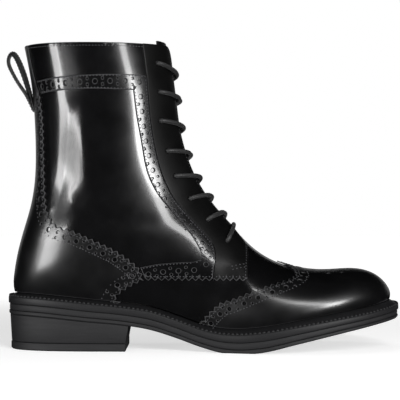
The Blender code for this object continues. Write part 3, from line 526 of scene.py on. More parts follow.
# a closed solid through rails, lines that run from the back to the front with one cross section at each station
def railSolid(name, lines, materials, capped=False, sharp=38):
    lines = np.asarray(lines)
    count, length = lines.shape[:2]
    points, triangles = lines.reshape(-1, 3), railGrid(lines)
    if capped:
        middle = lines[:, -1].mean(axis=0)
        points = np.concatenate([points, middle[None]])
        ends = np.arange(count) * length + length - 1
        cap = np.stack([np.full(count, len(points) - 1), np.roll(ends, -1), ends], 1)
        triangles = np.concatenate([triangles, cap])
    first, back = firstTwin(points)
    triangles = back[triangles]
    points, triangles = points[first], triangles[whole(triangles)]
    if volumeOf(points, triangles) < 0:
        triangles = triangles[:, ::-1]
    return meshFrom(name, points, triangles, materials, sharp=sharp)


# a profile carried along a path: point = path + u * first + v * second, with flat caps
def sweepSolid(name, paths, materials, sharp=60):
    points, triangles, uvs, start = [], [], [], 0
    for path, first, second, profile in paths:
        count, sides = len(path), len(profile)
        grid = path[:, None] + profile[None, :, :1] * first[:, None] + profile[None, :, 1:] * second[:, None]
        k, j = np.arange(count - 1)[:, None], np.arange(sides)[None, :]
        a, b = k * sides + j, k * sides + (j + 1) % sides
        quads = np.stack([a, b, b + sides, a + sides], axis=-1).reshape(-1, 4)
        here, beside = np.arange(sides), (np.arange(sides) + 1) % sides
        tip, last = np.full(sides, count * sides), (count - 1) * sides
        tris = np.concatenate([quads[:, (0, 1, 2)], quads[:, (0, 2, 3)], np.stack([tip, beside, here], 1),
                               np.stack([tip + 1, last + here, last + beside], 1)])
        body = np.concatenate([grid.reshape(-1, 3), path[:1], path[-1:]])
        length, around = runLength(path), np.append(np.arange(sides) / sides, 1.0)
        u0, u1, v0, v1 = np.broadcast_arrays(around[j], around[j + 1], length[k], length[k + 1])
        corner = np.stack([np.stack([u0, u1, u1, u0], -1), np.stack([v0, v0, v1, v1], -1)], -1).reshape(-1, 4, 2)
        uv = np.concatenate([corner[:, (0, 1, 2)], corner[:, (0, 2, 3)], np.zeros((2 * sides, 3, 2))])
        if volumeOf(body, tris) < 0:
            tris, uv = tris[:, ::-1], uv[:, ::-1]
        points.append(body)
        triangles.append(tris + start)
        uvs.append(uv)
        start += len(body)
    return meshFrom(name, np.concatenate(points), np.concatenate(triangles), materials,
                    uv=np.concatenate(uvs).reshape(-1, 2), sharp=sharp)


# many small beads at once: centre + x * ahead + y * side + z * up, over one low ellipsoid of three rings
def beads(name, centres, ahead, up, size, materials):
    turn = np.linspace(0.0, 2 * math.pi, 6, endpoint=False)
    rounds = ((-0.72, 0.62), (0.0, 1.0), (0.72, 0.62))
    base = np.array([(-1.0, 0.0, 0.0)] + [(x, r * math.cos(w), r * math.sin(w)) for x, r in rounds for w in turn]
                    + [(1.0, 0.0, 0.0)]) * np.array(size)
    tris = [[0, 1 + (m + 1) % 6, 1 + m] for m in range(6)]
    for m in range(12):
        a, b = 1 + m, 1 + m // 6 * 6 + (m + 1) % 6
        tris += [[a, b, b + 6], [a, b + 6, a + 6]]
    tris = np.array(tris + [[19, 13 + m, 13 + (m + 1) % 6] for m in range(6)])
    side = unit(np.cross(up, ahead))
    up = np.cross(ahead, side)
    points = (centres[:, None] + base[None, :, :1] * ahead[:, None] + base[None, :, 1:2] * side[:, None]
              + base[None, :, 2:] * up[:, None])
    if volumeOf(base, tris) < 0:
        tris = tris[:, ::-1]
    triangles = (tris[None] + (np.arange(len(centres)) * len(base))[:, None, None]).reshape(-1, 3)
    return meshFrom(name, points.reshape(-1, 3), triangles, materials)


# feeds a node's inputs: a socket is linked, anything else is set
def feed(tree, node, inputs):
    for key, value in inputs.items():
        if isinstance(value, bpy.types.NodeSocket):
            tree.links.new(value, node.inputs[key])
        else:
            node.inputs[key].default_value = value


# adds a shader node with its settings and inputs
def addNode(tree, kind, inputs=None, **settings):
    node = tree.nodes.new("ShaderNode" + kind)
    for key, value in settings.items():
        setattr(node, key, value)
    feed(tree, node, inputs or {})
    return node


# an empty material, its node tree and its shader
def startMaterial(name):
    material = bpy.data.materials.new(name)
    material.use_nodes = True
    tree = material.node_tree
    return material, tree, tree.nodes["Principled BSDF"]


# the look's colour: from its dark tone to its light one as the factor goes from 0 to 1
def lookColour(tree, factor, look):
    inputs = {0: factor, 6: linear(look["dark"]), 7: linear(look["light"])}
    return addNode(tree, "Mix", inputs, data_type="RGBA").outputs[2]


# polished box leather: a black finish rubbed to a gloss. The eye sees sharp, slightly wavy reflections, with the
# pores of the grain only where light grazes them
def boxLeather(name, look):
    material, tree, shader = startMaterial(name)
    place = addNode(tree, "TexCoord").outputs["Object"]
    pores = addNode(tree, "TexVoronoi", {"Vector": place, "Scale": 1.0 / look["poreSize"]})
    cloud = addNode(tree, "TexNoise", {"Vector": place, "Scale": 60.0, "Detail": 4.0})
    rough = addNode(tree, "MapRange", {"Value": cloud.outputs["Fac"], "From Min": 0.3, "From Max": 0.7,
                                       "To Min": look["rough"] * 0.85, "To Max": look["rough"] * 1.15})
    bump = addNode(tree, "Bump", {"Height": pores.outputs["Distance"], "Strength": look["poreStrength"],
                                  "Distance": look["poreSize"] * 0.25})
    feed(tree, shader, {
        "Base Color": lookColour(tree, cloud.outputs["Fac"], look), "Roughness": rough.outputs[0], "IOR": 1.5,
        "Specular IOR Level": look["specular"], "Coat Weight": look["coat"], "Coat Roughness": look["coatRough"],
        "Normal": bump.outputs[0]})
    return material


# rough is the finish's own roughness and coat the wax rubbed over it; pores are in metres. The upper is polished,
# with mirror-like lights; toe cap and counter are buffed, with softer ones; facings are only waxed and look dull
leatherLook = {"dark": "#040404", "light": "#080809", "rough": 0.21, "poreSize": 0.0005, "poreStrength": 0.05,
               "specular": 0.16, "coat": 0.26, "coatRough": 0.09}
buffedLook = {**leatherLook, "rough": 0.33, "specular": 0.20, "coat": 0.24, "coatRough": 0.19}
facingLook = {"dark": "#050505", "light": "#090909", "rough": 0.40, "poreSize": 0.0006, "poreStrength": 0.16,
              "specular": 0.08, "coat": 0.02, "coatRough": 0.20}
# a grained strap: coarse pores that break its lights up
strapLook = {"dark": "#060606", "light": "#0e0e0e", "rough": 0.40, "poreSize": 0.0009, "poreStrength": 0.45,
             "specular": 0.14, "coat": 0.05, "coatRough": 0.12}
# cut and punched edges: greyer and matte, partly for the fibres under the dye and partly as a painted highlight along
# the edges and round the holes
edgeHighlightLook = {"dark": "#202021", "light": "#2e2e2f", "rough": 0.50, "poreSize": 0.0004, "poreStrength": 0.35,
            "specular": 0.12, "coat": 0.0, "coatRough": 0.3}
rimHighlightLook = {**edgeHighlightLook, "dark": "#1c1c1d", "light": "#272728", "rough": 0.45, "poreStrength": 0.20,
               "specular": 0.14}
foldedLook = {**rimHighlightLook, "dark": "#070707", "light": "#0c0c0c", "rough": 0.60, "specular": 0.08}
# unpolished lining leather: brownish black, open grained, no gloss
liningLook = {**edgeHighlightLook, "dark": "#1b1a19", "light": "#242220", "rough": 0.60, "poreSize": 0.0007,
              "poreStrength": 0.30, "specular": 0.35}
leather = boxLeather("polished box leather", leatherLook)
facingLeather = boxLeather("waxed facing leather", facingLook)
cutEdgeHighlight = boxLeather("cut edge with painted highlight", edgeHighlightLook)
rimHighlightEdge = boxLeather("punched rim with painted highlight", rimHighlightLook)
buffedLeather = boxLeather("buffed box leather", buffedLook)
foldedEdge = boxLeather("folded waxed edge", foldedLook)
lining = boxLeather("lining leather", liningLook)
strapLeather = boxLeather("grained strap leather", strapLook)
overlayMaterials = [leather, cutEdgeHighlight, cutEdgeHighlight, rimHighlightEdge]
buffedMaterials = [buffedLeather] + overlayMaterials[1:]


# moulded rubber: matte with a faint sheen, a fine speckle left by the mould and slow changes of tone
def mouldedRubber(name, look):
    material, tree, shader = startMaterial(name)
    place = addNode(tree, "TexCoord").outputs["Object"]
    speckle = addNode(tree, "TexNoise", {"Vector": place, "Scale": 1.0 / look["speckle"], "Detail": 3.0})
    layered = addNode(tree, "Mapping", {"Vector": place, "Scale": (1.0, 1.0, 14.0)})
    cloud = addNode(tree, "TexNoise", {"Vector": layered.outputs[0], "Scale": 60.0, "Detail": 4.0})
    bump = addNode(tree, "Bump", {"Height": speckle.outputs["Fac"], "Strength": look["strength"],
                                  "Distance": look["speckle"] * 0.3})
    feed(tree, shader, {"Base Color": lookColour(tree, cloud.outputs["Fac"], look), "Roughness": look["rough"],
                        "Specular IOR Level": 0.15, "Normal": bump.outputs[0]})
    return material


rubberLook = {"dark": "#0f0f10", "light": "#1c1c1d", "rough": 0.60, "speckle": 0.0006, "strength": 0.25}
weltLook = {**rubberLook, "dark": "#101011", "light": "#171718", "rough": 0.50}
# the welt's ribs a little lighter than the welt: a painted highlight where they catch light from above
ribHighlightLook = {**weltLook, "dark": "#141415", "light": "#1e1e1f"}
rubber = mouldedRubber("moulded sole rubber", rubberLook)
weltRubber = mouldedRubber("moulded welt rubber", weltLook)
ribHighlightRubber = mouldedRubber("moulded rib rubber with painted highlight", ribHighlightLook)


# waxed cotton lace: a round braid, its strands crossing at one pitch round and along the cord; its colour follows the
# braid's bumps, painted shade in the hollows between strands and lighter on their crests
def braidedCord(name, look):
    material, tree, shader = startMaterial(name)
    uv = addNode(tree, "TexCoord").outputs["UV"]
    split = addNode(tree, "SeparateXYZ", {0: uv})
    around, run = (addNode(tree, "Math", {0: split.outputs[axis], 1: 2 * math.pi * turns},
                           operation="MULTIPLY").outputs[0]
                   for axis, turns in (("X", look["strands"]), ("Y", 1.0 / look["pitch"])))
    waves = []
    for lean in ("ADD", "SUBTRACT"):
        strand = addNode(tree, "Math", {0: around, 1: run}, operation=lean)
        waves.append(addNode(tree, "Math", {0: strand.outputs[0]}, operation="SINE").outputs[0])
    braid = addNode(tree, "Math", dict(enumerate(waves)), operation="MULTIPLY").outputs[0]
    # painted shade: the colour is darker where the braid's bump is low and lighter where it is high
    tone = addNode(tree, "MapRange", {"Value": braid, "From Min": -1.0, "From Max": 1.0})
    bump = addNode(tree, "Bump", {"Height": braid, "Strength": 0.6, "Distance": 0.00015})
    feed(tree, shader, {"Base Color": lookColour(tree, tone.outputs[0], look), "Roughness": look["rough"],
                        "Sheen Weight": 0.05, "Sheen Roughness": 0.4, "Normal": bump.outputs[0]})
    return material


laceLook = {"dark": "#060606", "light": "#111112", "rough": 0.62, "strands": 4, "pitch": 0.0022}
laceCord = braidedCord("waxed cotton lace", laceLook)
# bonded nylon thread, twisted, with a soft sheen: the black thread is painted dark grey, a painted highlight for its
# glints, so that each stitch stands out from the black leather
threadGlintLook = {"dark": "#2c2c2e", "light": "#38383a", "rough": 0.45, "poreSize": 0.0003, "poreStrength": 0.3,
              "specular": 0.22, "coat": 0.0, "coatRough": 0.2}
thread = boxLeather("bonded nylon thread", threadGlintLook)
print("materials made")


# outlines, seen from the outer side as (share of the sole's length, share of the boot's height)
panels = {
    "wing": ((0.486, 0.090), (0.500, 0.113), (0.524, 0.146), (0.540, 0.163), (0.557, 0.170), (0.595, 0.189),
             (0.628, 0.206), (0.657, 0.219), (0.685, 0.229), (0.714, 0.239), (0.730, 0.250)),
    "wingTop": ((0.730, 0.250), (0.727, 0.266), (0.710, 0.279)),
    "wingPeak": 8.75,
    "counterLow": ((0.275, 0.150), (0.286, 0.180), (0.311, 0.205), (0.331, 0.220), (0.350, 0.231)),
    "counterTop": ((0.350, 0.231), (0.347, 0.252), (0.336, 0.277), (0.320, 0.295), (0.294, 0.320), (0.243, 0.354),
                   (0.208, 0.375), (0.168, 0.397), (0.137, 0.408), (0.120, 0.426), (0.110, 0.450), (0.102, 0.502),
                   (0.098, 0.569), (0.096, 0.652), (0.095, 0.720), (0.091, 0.784), (0.084, 0.839)),
    "counterStrip": ((0.084, 0.839), (0.072, 0.880), (0.062, 0.930), (0.053, 0.999)),
    "bandTop": ((0.078, 0.881), (0.118, 0.888), (0.219, 0.896), (0.305, 0.898), (0.352, 0.896)),
    "bandFront": ((0.357, 0.890), (0.364, 0.772), (0.375, 0.674), (0.394, 0.576), (0.421, 0.502), (0.455, 0.448),
                  (0.500, 0.384), (0.522, 0.345), (0.526, 0.321), (0.524, 0.281), (0.521, 0.231)),
    "bandFoot": ((0.521, 0.231), (0.440, 0.231), (0.3525, 0.231)),
    "bandInnerFoot": ((0.342, 0.274), (0.382, 0.284), (0.423, 0.289), (0.474, 0.292)),
    "bandInnerFront": ((0.474, 0.292), (0.490, 0.300), (0.494, 0.316), (0.488, 0.338), (0.455, 0.404), (0.413, 0.468),
                       (0.383, 0.517), (0.360, 0.581), (0.345, 0.684), (0.334, 0.762), (0.326, 0.848)),
    "bandInnerTop": ((0.326, 0.848), (0.219, 0.850), (0.132, 0.845), (0.090, 0.839)),
    "facingLow": ((0.610, 0.345), (0.611, 0.306), (0.608, 0.243), (0.604, 0.231)),
    "toothPitch": 0.0048, "toothDepth": 0.0019, "seamGap": 0.0006}
eyelets = {
    "places": ((0.384, 0.939), (0.390, 0.845), (0.392, 0.751), (0.409, 0.653), (0.429, 0.571), (0.466, 0.497),
               (0.510, 0.429), (0.559, 0.360)),
    "radius": 0.0019}
throat = {"top": 0.0170, "foot": 0.0110, "footSection": 11.05, "cornerRadius": 0.0075, "footRound": 0.8,
          "facingFoot": 12.2, "sewnFrom": 12.4}
sectionsPerMetre = 1.0 / (0.093 * (boot["bootHeight"] - boot["throatHeight"]))     # near the collar


# the place on the outer side that lies this far from the ridge
def fromRidge(t, width):
    g = guides(np.asarray(t, float))
    return -np.asarray(width) / (3 * g[5] / (0.375 * (1.0 + g[7])))


# half the gap between the facings: from its foot at the section start, evenly to its top at the collar
def throatHalf(t, start):
    return 0.5 * (throat["foot"] + (throat["top"] - throat["foot"]) * (t - start) / (collar - start))


innerSide = np.array([1.0, -1.0])


# a line of the outer side run back along the inner side
def mirrored(line):
    return line[::-1] * innerSide


# edge of the facing from its round top corner to the middle of the throat's foot
def throatEdge():
    start, bend = throat["footSection"], throat["footRound"]
    t = np.linspace(collar, start + bend, 120)
    half = throatHalf(t, start)
    line = np.stack([t, fromRidge(t, half)], axis=-1)
    angle = np.linspace(0.0, 0.5 * math.pi, 14)
    tCorner = collar - (1 - np.cos(angle)) * throat["cornerRadius"] * sectionsPerMetre
    corner = np.stack([tCorner, fromRidge(tCorner, half[0] + throat["cornerRadius"] * (1 - np.sin(angle)))], axis=-1)
    angle = np.linspace(0.1, 0.5 * math.pi, 12)
    tEnd = start + bend - bend * np.sin(angle)
    end = np.stack([tEnd, fromRidge(tEnd, half[-1] * np.cos(angle))], axis=-1)
    end[-1, 1] = 0.0
    return np.concatenate([corner, line[line[:, 0] < tCorner[-1] - 0.1], end])


# the lower edge on the outer side between two sections, where the upper meets the welt
def bottomEdge(first, last, count=90):
    u = 0.5 * (1 - np.cos(math.pi * np.linspace(0.0, 1.0, count)))
    t = toeSection + (heelSection - toeSection) * u
    low, high = min(first, last), max(first, last)
    t = np.concatenate([[low], t[(t > low) & (t < high)], [high]])
    a = -endShare(t)
    a[t >= heelSection - 1e-5] = -1.0
    line = np.stack([t, a], axis=-1)
    return line if first < last else line[::-1]


# the back seam between two sections
def seamLine(first, last, count=70):
    t = np.linspace(first, last, count)
    return np.stack([t, -np.ones(count)], axis=-1)


# lines put end to end; a first point that repeats the last one is left out
def joinLines(*lines):
    joined = [lines[0]]
    for line in lines[1:]:
        joined.append(line[1:] if np.linalg.norm((line[0] - joined[-1][-1]) * netScale) < 2e-4 else line)
    return np.concatenate(joined)


# lines joined to a loop with a point at every pitch of their length; their ends stay as corners
def loopOf(*lines, pitch=0.0011):
    kept = []
    for line in lines:
        length = runLength(form(*line.T))
        places = np.linspace(0.0, length[-1], max(int(length[-1] / pitch), 1) + 1)
        kept.append(sample(places, length, line))
    joined = joinLines(*kept)
    apart = np.linalg.norm(np.diff(np.concatenate([joined, joined[:1]]), axis=0) * netScale, axis=1) > 1.5e-4
    return joined[apart]


# a panel's outline as a line of places
def outline(key, smooth=True):
    return smoothLine(sidePlaces(panels[key]), smooth)


# the line with its first point brought down to the welt
def landed(line):
    line[0, 1] = -endShare(line[:1, 0])[0]
    return line


# rings of the outer side and the same on the inner side
def bothSides(found):
    return found + [ring * innerSide for ring in found]


edge = throatEdge()
topline = np.stack([np.full(200, collar), np.linspace(-1.0, edge[0, 1], 200)], axis=-1)
eyeletPlaces = sidePlaces(eyelets["places"])
wingTop = np.concatenate([sidePlaces(panels["wingTop"]), [[panels["wingPeak"], 0.0]]])
wing = landed(np.concatenate([outline("wing"), smoothLine(wingTop, False)[1:]]))
counterLow, counterTop, counterStrip = landed(outline("counterLow")), outline("counterTop"), outline("counterStrip")
counterStrip[-1, 0] = collar
bandTop, bandFront, bandFoot, bandInnerFoot, bandInnerFront, bandInnerTop = (
    outline("band" + part) for part in ("Top", "Front", "Foot", "InnerFoot", "InnerFront", "InnerTop"))
facingLow = outline("facingLow", False)
seam = panels["seamGap"] / boot["soleLength"]
facingRear = smoothLine(sidePlaces([(share + seam, height) for share, height in panels["bandFront"]]))
facingFoot = smoothLine(sidePlaces([panels["facingLow"][-1], (panels["bandFoot"][0][0] + seam, 0.231)]), False)
print("outlines placed")

punching = {"large": 0.00150, "small": 0.00078, "pitch": 0.0097, "spread": 0.0021, "inset": 0.0062}


# punched holes along a line: a large one at each pitch, with a pair of small ones halfway between
def brogueHoles(line, offset, skipStart=0.004, skipEnd=0.004):
    length = lengthOf(line)
    count = max(int((length - skipStart - skipEnd) / punching["pitch"]), 1)
    pitch = (length - skipStart - skipEnd) / count
    large = skipStart + pitch * np.arange(count + 1)
    small = large[:-1] + 0.5 * pitch
    found = rings(walk(line, large, offset), punching["large"], 14)
    for side in (-1, 1):
        found += rings(walk(line, small, offset + side * punching["spread"]), punching["small"], 8)
    return found


stitch = {"pitch": 0.0022, "gap": 0.0005, "long": 0.00056, "wide": 0.00036, "high": 0.00034, "proud": 0.00006,
          "teeth": 0.0029, "second": 0.0066, "edge": 0.0009}      # row beside a pinked edge, next row, plain edge
seams = []


# stitches along a line at the pitch of the seam, on both sides of the boot: places a gap either way of each middle
def stitchRow(line, offset, top=0.0, skipStart=0.001, skipEnd=0.001):
    length = lengthOf(line) - skipStart - skipEnd
    count = max(int(length / stitch["pitch"]), 1)
    middle = skipStart + (np.arange(count) + 0.5) * length / count
    rear, front = (walk(line, middle + way * stitch["gap"], offset) for way in (-1, 1))
    for turn in (1, innerSide):
        seams.append((rear * turn, front * turn, np.full(count, top)))


# the upper: vamp and quarters in one hollow shell with its lining, open at the collar, the throat and the sole
shellBottom = bottomEdge(toeSection, heelSection, 170)
shell = loopOf(shellBottom, seamLine(heelSection, collar), topline, edge, pitch=nets["seam"])
shell = np.concatenate([shell, mirrored(shell)[:-1]])
shell = shell[np.concatenate([[True], np.linalg.norm(np.diff(shell, axis=0) * netScale, axis=1) > 1.5e-4])]
eyeletRings = rings(eyeletPlaces, eyelets["radius"], 14)
dress(cutPiece("upper_shell", [shell] + bothSides(eyeletRings), layers["upper"], layers["wall"], nets["upper"],
               [leather, lining, foldedEdge]), "upper_leather", "upper")
print("upper made")

# the wing-tip cap, pinked along its rear edge and punched with a pattern on the toe
medallion = {"centre": 0.186, "marks": (      # along the foot, to either side, radius, all in metres
    (0.0, 0.0, 0.0017), (0.0062, 0.0, 0.0010), (-0.0062, 0.0, 0.0010), (0.0, 0.0058, 0.0010),
    (0.0048, 0.0048, 0.0008), (-0.0048, 0.0048, 0.0008), (0.0128, 0.0, 0.0015), (0.0105, 0.0068, 0.0009),
    (0.0070, 0.0112, 0.0012),
    (0.0, 0.0140, 0.0009), (-0.0072, 0.0132, 0.0012), (-0.0135, 0.0092, 0.0009), (-0.0150, 0.0, 0.0014),
    (-0.0112, 0.0, 0.0008), (-0.0150, 0.0048, 0.0009), (-0.0125, 0.0165, 0.0009), (-0.0040, 0.0190, 0.0012),
    (0.0055, 0.0182, 0.0008))}


# a place by its x on the ridge and its way round the section from there
def ridgePlace(x, sideways):
    t = np.linspace(toeSection + 0.3, 12.0, 400)
    ridge = form(t, 0.0 * t)[:, 0]
    place = float(np.interp(-x, -ridge, t))
    a = np.linspace(-0.6, 0.6, 241)
    points = form(place + 0.0 * a, a)
    length = runLength(points)
    return np.array([place, np.interp(sideways + np.interp(0.0, a, length), length, a)])


wingEdge = landed(pinked(wing, -1))
wingEdge[-1] = panels["wingPeak"], 0.0
capFront = loopOf(bottomEdge(toeSection, wingEdge[0, 0]), pitch=nets["edge"])
cap = np.concatenate([capFront, wingEdge[1:]])
cap = np.concatenate([cap, mirrored(cap)[1:-1]])
capHoles = bothSides(brogueHoles(wing, -punching["inset"], 0.006, 0.006))
for x, sideways, radius in medallion["marks"]:
    for way in (sideways, -sideways) if sideways else (0.0,):
        capHoles += rings(ridgePlace(medallion["centre"] + x, way)[None], radius)
dress(cutPiece("toe_cap_leather", [cap] + capHoles, 0.0, layers["overlay"], nets["cap"], buffedMaterials, glintLines=[cap]),
      "overlay_leather", "toe_cap")
for offset in (0.0, stitch["second"]):
    stitchRow(wing, -stitch["teeth"] - offset)
print("toe cap made")

# the counter, pinked and punched, and its strip up the back
counterPinked = landed(pinked(joinLines(counterLow, counterTop), 1))
counterFoot = loopOf(bottomEdge(heelSection, counterPinked[0, 0]), pitch=nets["edge"])
counterHead = np.array([[collar, counterStrip[-1, 1]], [collar, -1.0]])
counter = np.concatenate([counterFoot[:-1], counterPinked, loopOf(counterStrip, pitch=nets["edge"])[1:],
                          loopOf(counterHead, pitch=nets["edge"])[1:],
                          loopOf(seamLine(collar, heelSection), pitch=nets["seam"])[1:-1]])
counterHoles = (brogueHoles(counterTop, punching["inset"], 0.007, 0.002)
                + brogueHoles(counterLow, punching["inset"], 0.003, 0.006))
dress(cutPiece("heel_counter_leather", [counter, mirrored(counter)] + bothSides(counterHoles), 0.0,
               layers["overlay"], nets["counter"], buffedMaterials,
               glintLines=[counterPinked, counterPinked * innerSide]),
      "overlay_leather", "heel_counter")
for line in (counterLow, counterTop):
    stitchRow(line, stitch["teeth"])
    stitchRow(line, 0.0096, 0.0, 0.003, 0.004)
stitchRow(counterStrip, 0.0020)
print("counter made")

# the brogue bands round each quarter, and the facings beside them
bandPinked = pinked(bandFoot, -1)
band = np.concatenate([loopOf(bandTop), loopOf(bandFront)[:-1], bandPinked, loopOf(bandInnerFoot)[:-1],
                       loopOf(bandInnerFront)[:-1], loopOf(bandInnerTop)])
bandHoles = (brogueHoles(bandTop, -0.0048, 0.006, 0.0035) + brogueHoles(bandFront, -0.0052, 0.013, 0.011)
             + brogueHoles(bandInnerFoot, -0.0056, 0.004, 0.0))
for line in (bandTop, bandFront, bandInnerTop, bandInnerFront, bandInnerFoot):
    stitchRow(line, -stitch["edge"])
stitchRow(bandFoot, -stitch["teeth"])
facingPinked = pinked(facingFoot, -1)
facingHead = np.array([facingRear[0], [collar, facingRear[0, 1]], [collar, edge[0, 1]]])
facing = np.concatenate([
    loopOf(edge[edge[:, 0] > throat["facingFoot"]]), loopOf(facingLow)[:-1], facingPinked, loopOf(facingRear[::-1]),
    loopOf(facingHead[:2])[1:], loopOf(facingHead[1:])[1:-1]])
for name, flip in (("outer", 1), ("inner", innerSide)):
    dress(cutPiece("band_%s_leather" % name, [loop * flip for loop in [band] + bandHoles], 0.0, layers["overlay"],
                   nets["band"], overlayMaterials, glintLines=[bandPinked * flip]), "overlay_leather", "band_" + name)
    dress(cutPiece("facing_%s_leather" % name, [loop * flip for loop in [facing] + eyeletRings], 0.0,
                   layers["overlay"], nets["facing"], [facingLeather, foldedEdge, cutEdgeHighlight],
                   glintLines=[facingPinked * flip]),
          "upper_leather", "eyestay_" + name)
stitchRow(edge[edge[:, 0] > throat["sewnFrom"]], -0.0023, -0.00022)
stitchRow(facingLow, -0.0016)
stitchRow(facingFoot, -stitch["teeth"])
stitchRow(topline, -0.0022, layers["upper"], 0.012, 0.002)
barTack = smoothLine(sidePlaces([(0.566, 0.272), (0.604, 0.280)]), False)
for offset in (-0.0012, 0.0012):
    stitchRow(barTack, offset, 0.0, 0.0, 0.0)
print("bands and facings made")

# the tongue, pressed in a little under the laces, and proud of the collar
tongue = {"rows": (11.6, 27.275), "lap": 0.0130}
rows = np.linspace(*tongue["rows"], 90)
tongueSide = np.stack([rows, fromRidge(rows, throatHalf(rows, rows[0]) + tongue["lap"])], axis=-1)
tongueLoop = loopOf(tongueSide, np.array([tongueSide[-1], tongueSide[-1] * innerSide]), mirrored(tongueSide),
                    np.array([tongueSide[0] * innerSide, tongueSide[0]]), pitch=nets["edge"])
dress(cutPiece("tongue_leather", [tongueLoop], layers["tongue"], layers["tongueThick"], nets["tongue"],
               [facingLeather, lining, foldedEdge], creased=False), "tongue_leather", "tongue")
print("tongue made")

# the lace: from inside each eyelet over its facing, down across the throat and under the other facing
lace = {"radius": 0.00148, "sides": 14, "clear": 0.0003}
turns = np.linspace(0.0, 2 * math.pi, lace["sides"], endpoint=False)
laceProfile = lace["radius"] * np.stack([np.cos(turns), np.sin(turns)], axis=-1)


# one run: a smooth path through (t, a, lift) keys, set at 64 even steps and eased once, and the two directions of
# its profile
def laceRun(keys):
    keys = np.array(keys)
    u = np.linspace(0.0, len(keys) - 1.0, 70)
    t, a, lift = (through(np.arange(len(keys)), column, u) for column in keys.T)
    path = form(t, a) + lift[:, None] * formNormal(t, a)
    length = runLength(path)
    even = np.linspace(0.0, length[-1], 64)
    path = sample(even, length, path)
    path[1:-1] = 0.25 * path[:-2] + 0.5 * path[1:-1] + 0.25 * path[2:]
    normal = formNormal(np.interp(even, length, t), np.interp(even, length, a))
    ahead = unit(np.gradient(path, axis=0))
    across = unit(np.cross(ahead, normal + 0.05))
    return path, across, np.cross(across, ahead), laceProfile


runs = []
rest = lace["radius"] + lace["clear"]
for k in range(7):
    (t0, a0), (t1, a1) = eyeletPlaces[k], eyeletPlaces[k + 1]
    lip = fromRidge(np.array([t0 + (t1 - t0) * 0.35]), 0.5 * throat["top"] * 0.85)[0]
    lipShare = float((a0 - lip) / (a0 + a1))
    for turn in (1.0, -1.0):
        over = 0.0010 if (turn > 0) == (k % 2 == 0) else -0.0016     # which of the two lies on top where they cross
        # share of the way to the next eyelet, and height over the form
        keys = ((0.0, -0.0042), (0.0, -0.0012), (0.035, rest * 0.72), (0.5 * lipShare, rest),
                (lipShare, rest + 0.0003), (0.5, over), (1.0 - lipShare, -0.0040), (1.0 - 0.55 * lipShare, -0.0046))
        runs.append(laceRun([(t0 + (t1 - t0) * share, turn * (a0 - (a0 + a1) * share), lift)
                             for share, lift in keys]))
t0, a0 = eyeletPlaces[7]
# the bar between the top eyelets, the same from both ends
keys = ((1.0, -0.0042), (1.0, -0.0012), (0.94, rest * 0.72), (0.6, rest), (0.0, rest - 0.0008))
runs.append(laceRun([(t0, a0 * share, lift) for share, lift in keys]
                    + [(t0, -a0 * share, lift) for share, lift in keys[-2::-1]]))
dress(sweepSolid("lace", runs, [laceCord]), "lace_cotton", "lace_bar", *["lace_crossing_%d" % k for k in range(1, 8)])
print("lace made")

# the pull loop: a strap folded over and sewn to the back
pullLoop = {
    "width": 0.0115, "thick": 0.0021, "height": 0.0386, "foot": 0.1695, "yaw": 0.16, "twist": 0.22,
    "stitches": 0.0043,
    "power": 0.28,     # of cosine and sine, which makes the profile a rounded rectangle
    "route": (         # behind the heel and up, in shares of the height
        (-0.020, -0.060), (0.020, 0.060), (0.042, 0.200), (0.078, 0.365), (0.109, 0.585), (0.150, 0.788),
        (0.192, 0.950), (0.250, 1.020), (0.335, 0.935), (0.368, 0.806), (0.330, 0.680), (0.272, 0.513),
        (0.189, 0.357), (0.117, 0.240), (0.070, 0.120), (0.000, -0.060))}
behind, up = np.array(pullLoop["route"]).T
u = np.linspace(0.0, len(behind) - 1.0, 140)
z = pullLoop["foot"] + pullLoop["height"] * bSpline(up, u)
backLine = form(np.linspace(heelSection, collar, 300), -np.ones(300))
x = np.interp(z, backLine[:, 2], backLine[:, 0]) - pullLoop["height"] * bSpline(behind, u)
strapPath = np.stack([x, 0.0 * x, z], axis=-1)
lean = (pullLoop["yaw"] * np.clip((z - pullLoop["foot"]) / pullLoop["height"], 0.0, 1.0)
        + pullLoop["twist"] * np.sin(math.pi * np.clip(2.0 * u / u[-1], 0.0, 1.0)))
across = unit(np.stack([-lean, 0.0 * x + 1.0, 0.0 * x], axis=-1))
strapUp = unit(np.cross(unit(np.gradient(strapPath, axis=0)), across))
angles = np.linspace(0.0, 2 * math.pi, 28, endpoint=False)
circle = np.stack([np.cos(angles), np.sin(angles)], axis=-1)
strapProfile = (0.5 * np.array([pullLoop["width"], pullLoop["thick"]])
                * np.sign(circle) * np.abs(circle) ** pullLoop["power"])
dress(sweepSolid("pull_loop_strap", [(strapPath, across, strapUp, strapProfile)], [strapLeather], sharp=50),
      "strap_leather", "pull_loop")
loopStitches = []
for out in (1, -1):
    for side in (-1, 1):
        sewn = strapPath + side * pullLoop["stitches"] * across + out * 0.5 * pullLoop["thick"] * strapUp
        loopStitches.append((sewn, np.gradient(sewn, axis=0), out * strapUp))
print("pull loop made")


# the sole: each layer's outline follows the upper's lower edge, moved outwards and carried down in steps
sole = {"midsole": 0.0008, "outsole": 0.0004, "heel": 0.0012, "heelTaper": 0.0010, "gap": 0.00012,
        "breast": 0.0413, "rake": 0.0020, "toplift": 0.0054, "stations": 190, "round": 0.0007,
        "sock": 0.0112, "sockThick": 0.0030}


# how far the welt stands out, from 1.08 of its size at the toe to 0.70 at the heel
def weltMargin(t):
    return boot["weltMargin"] * (1.08 - 0.38 * np.minimum(t / 12.0, 1.0))


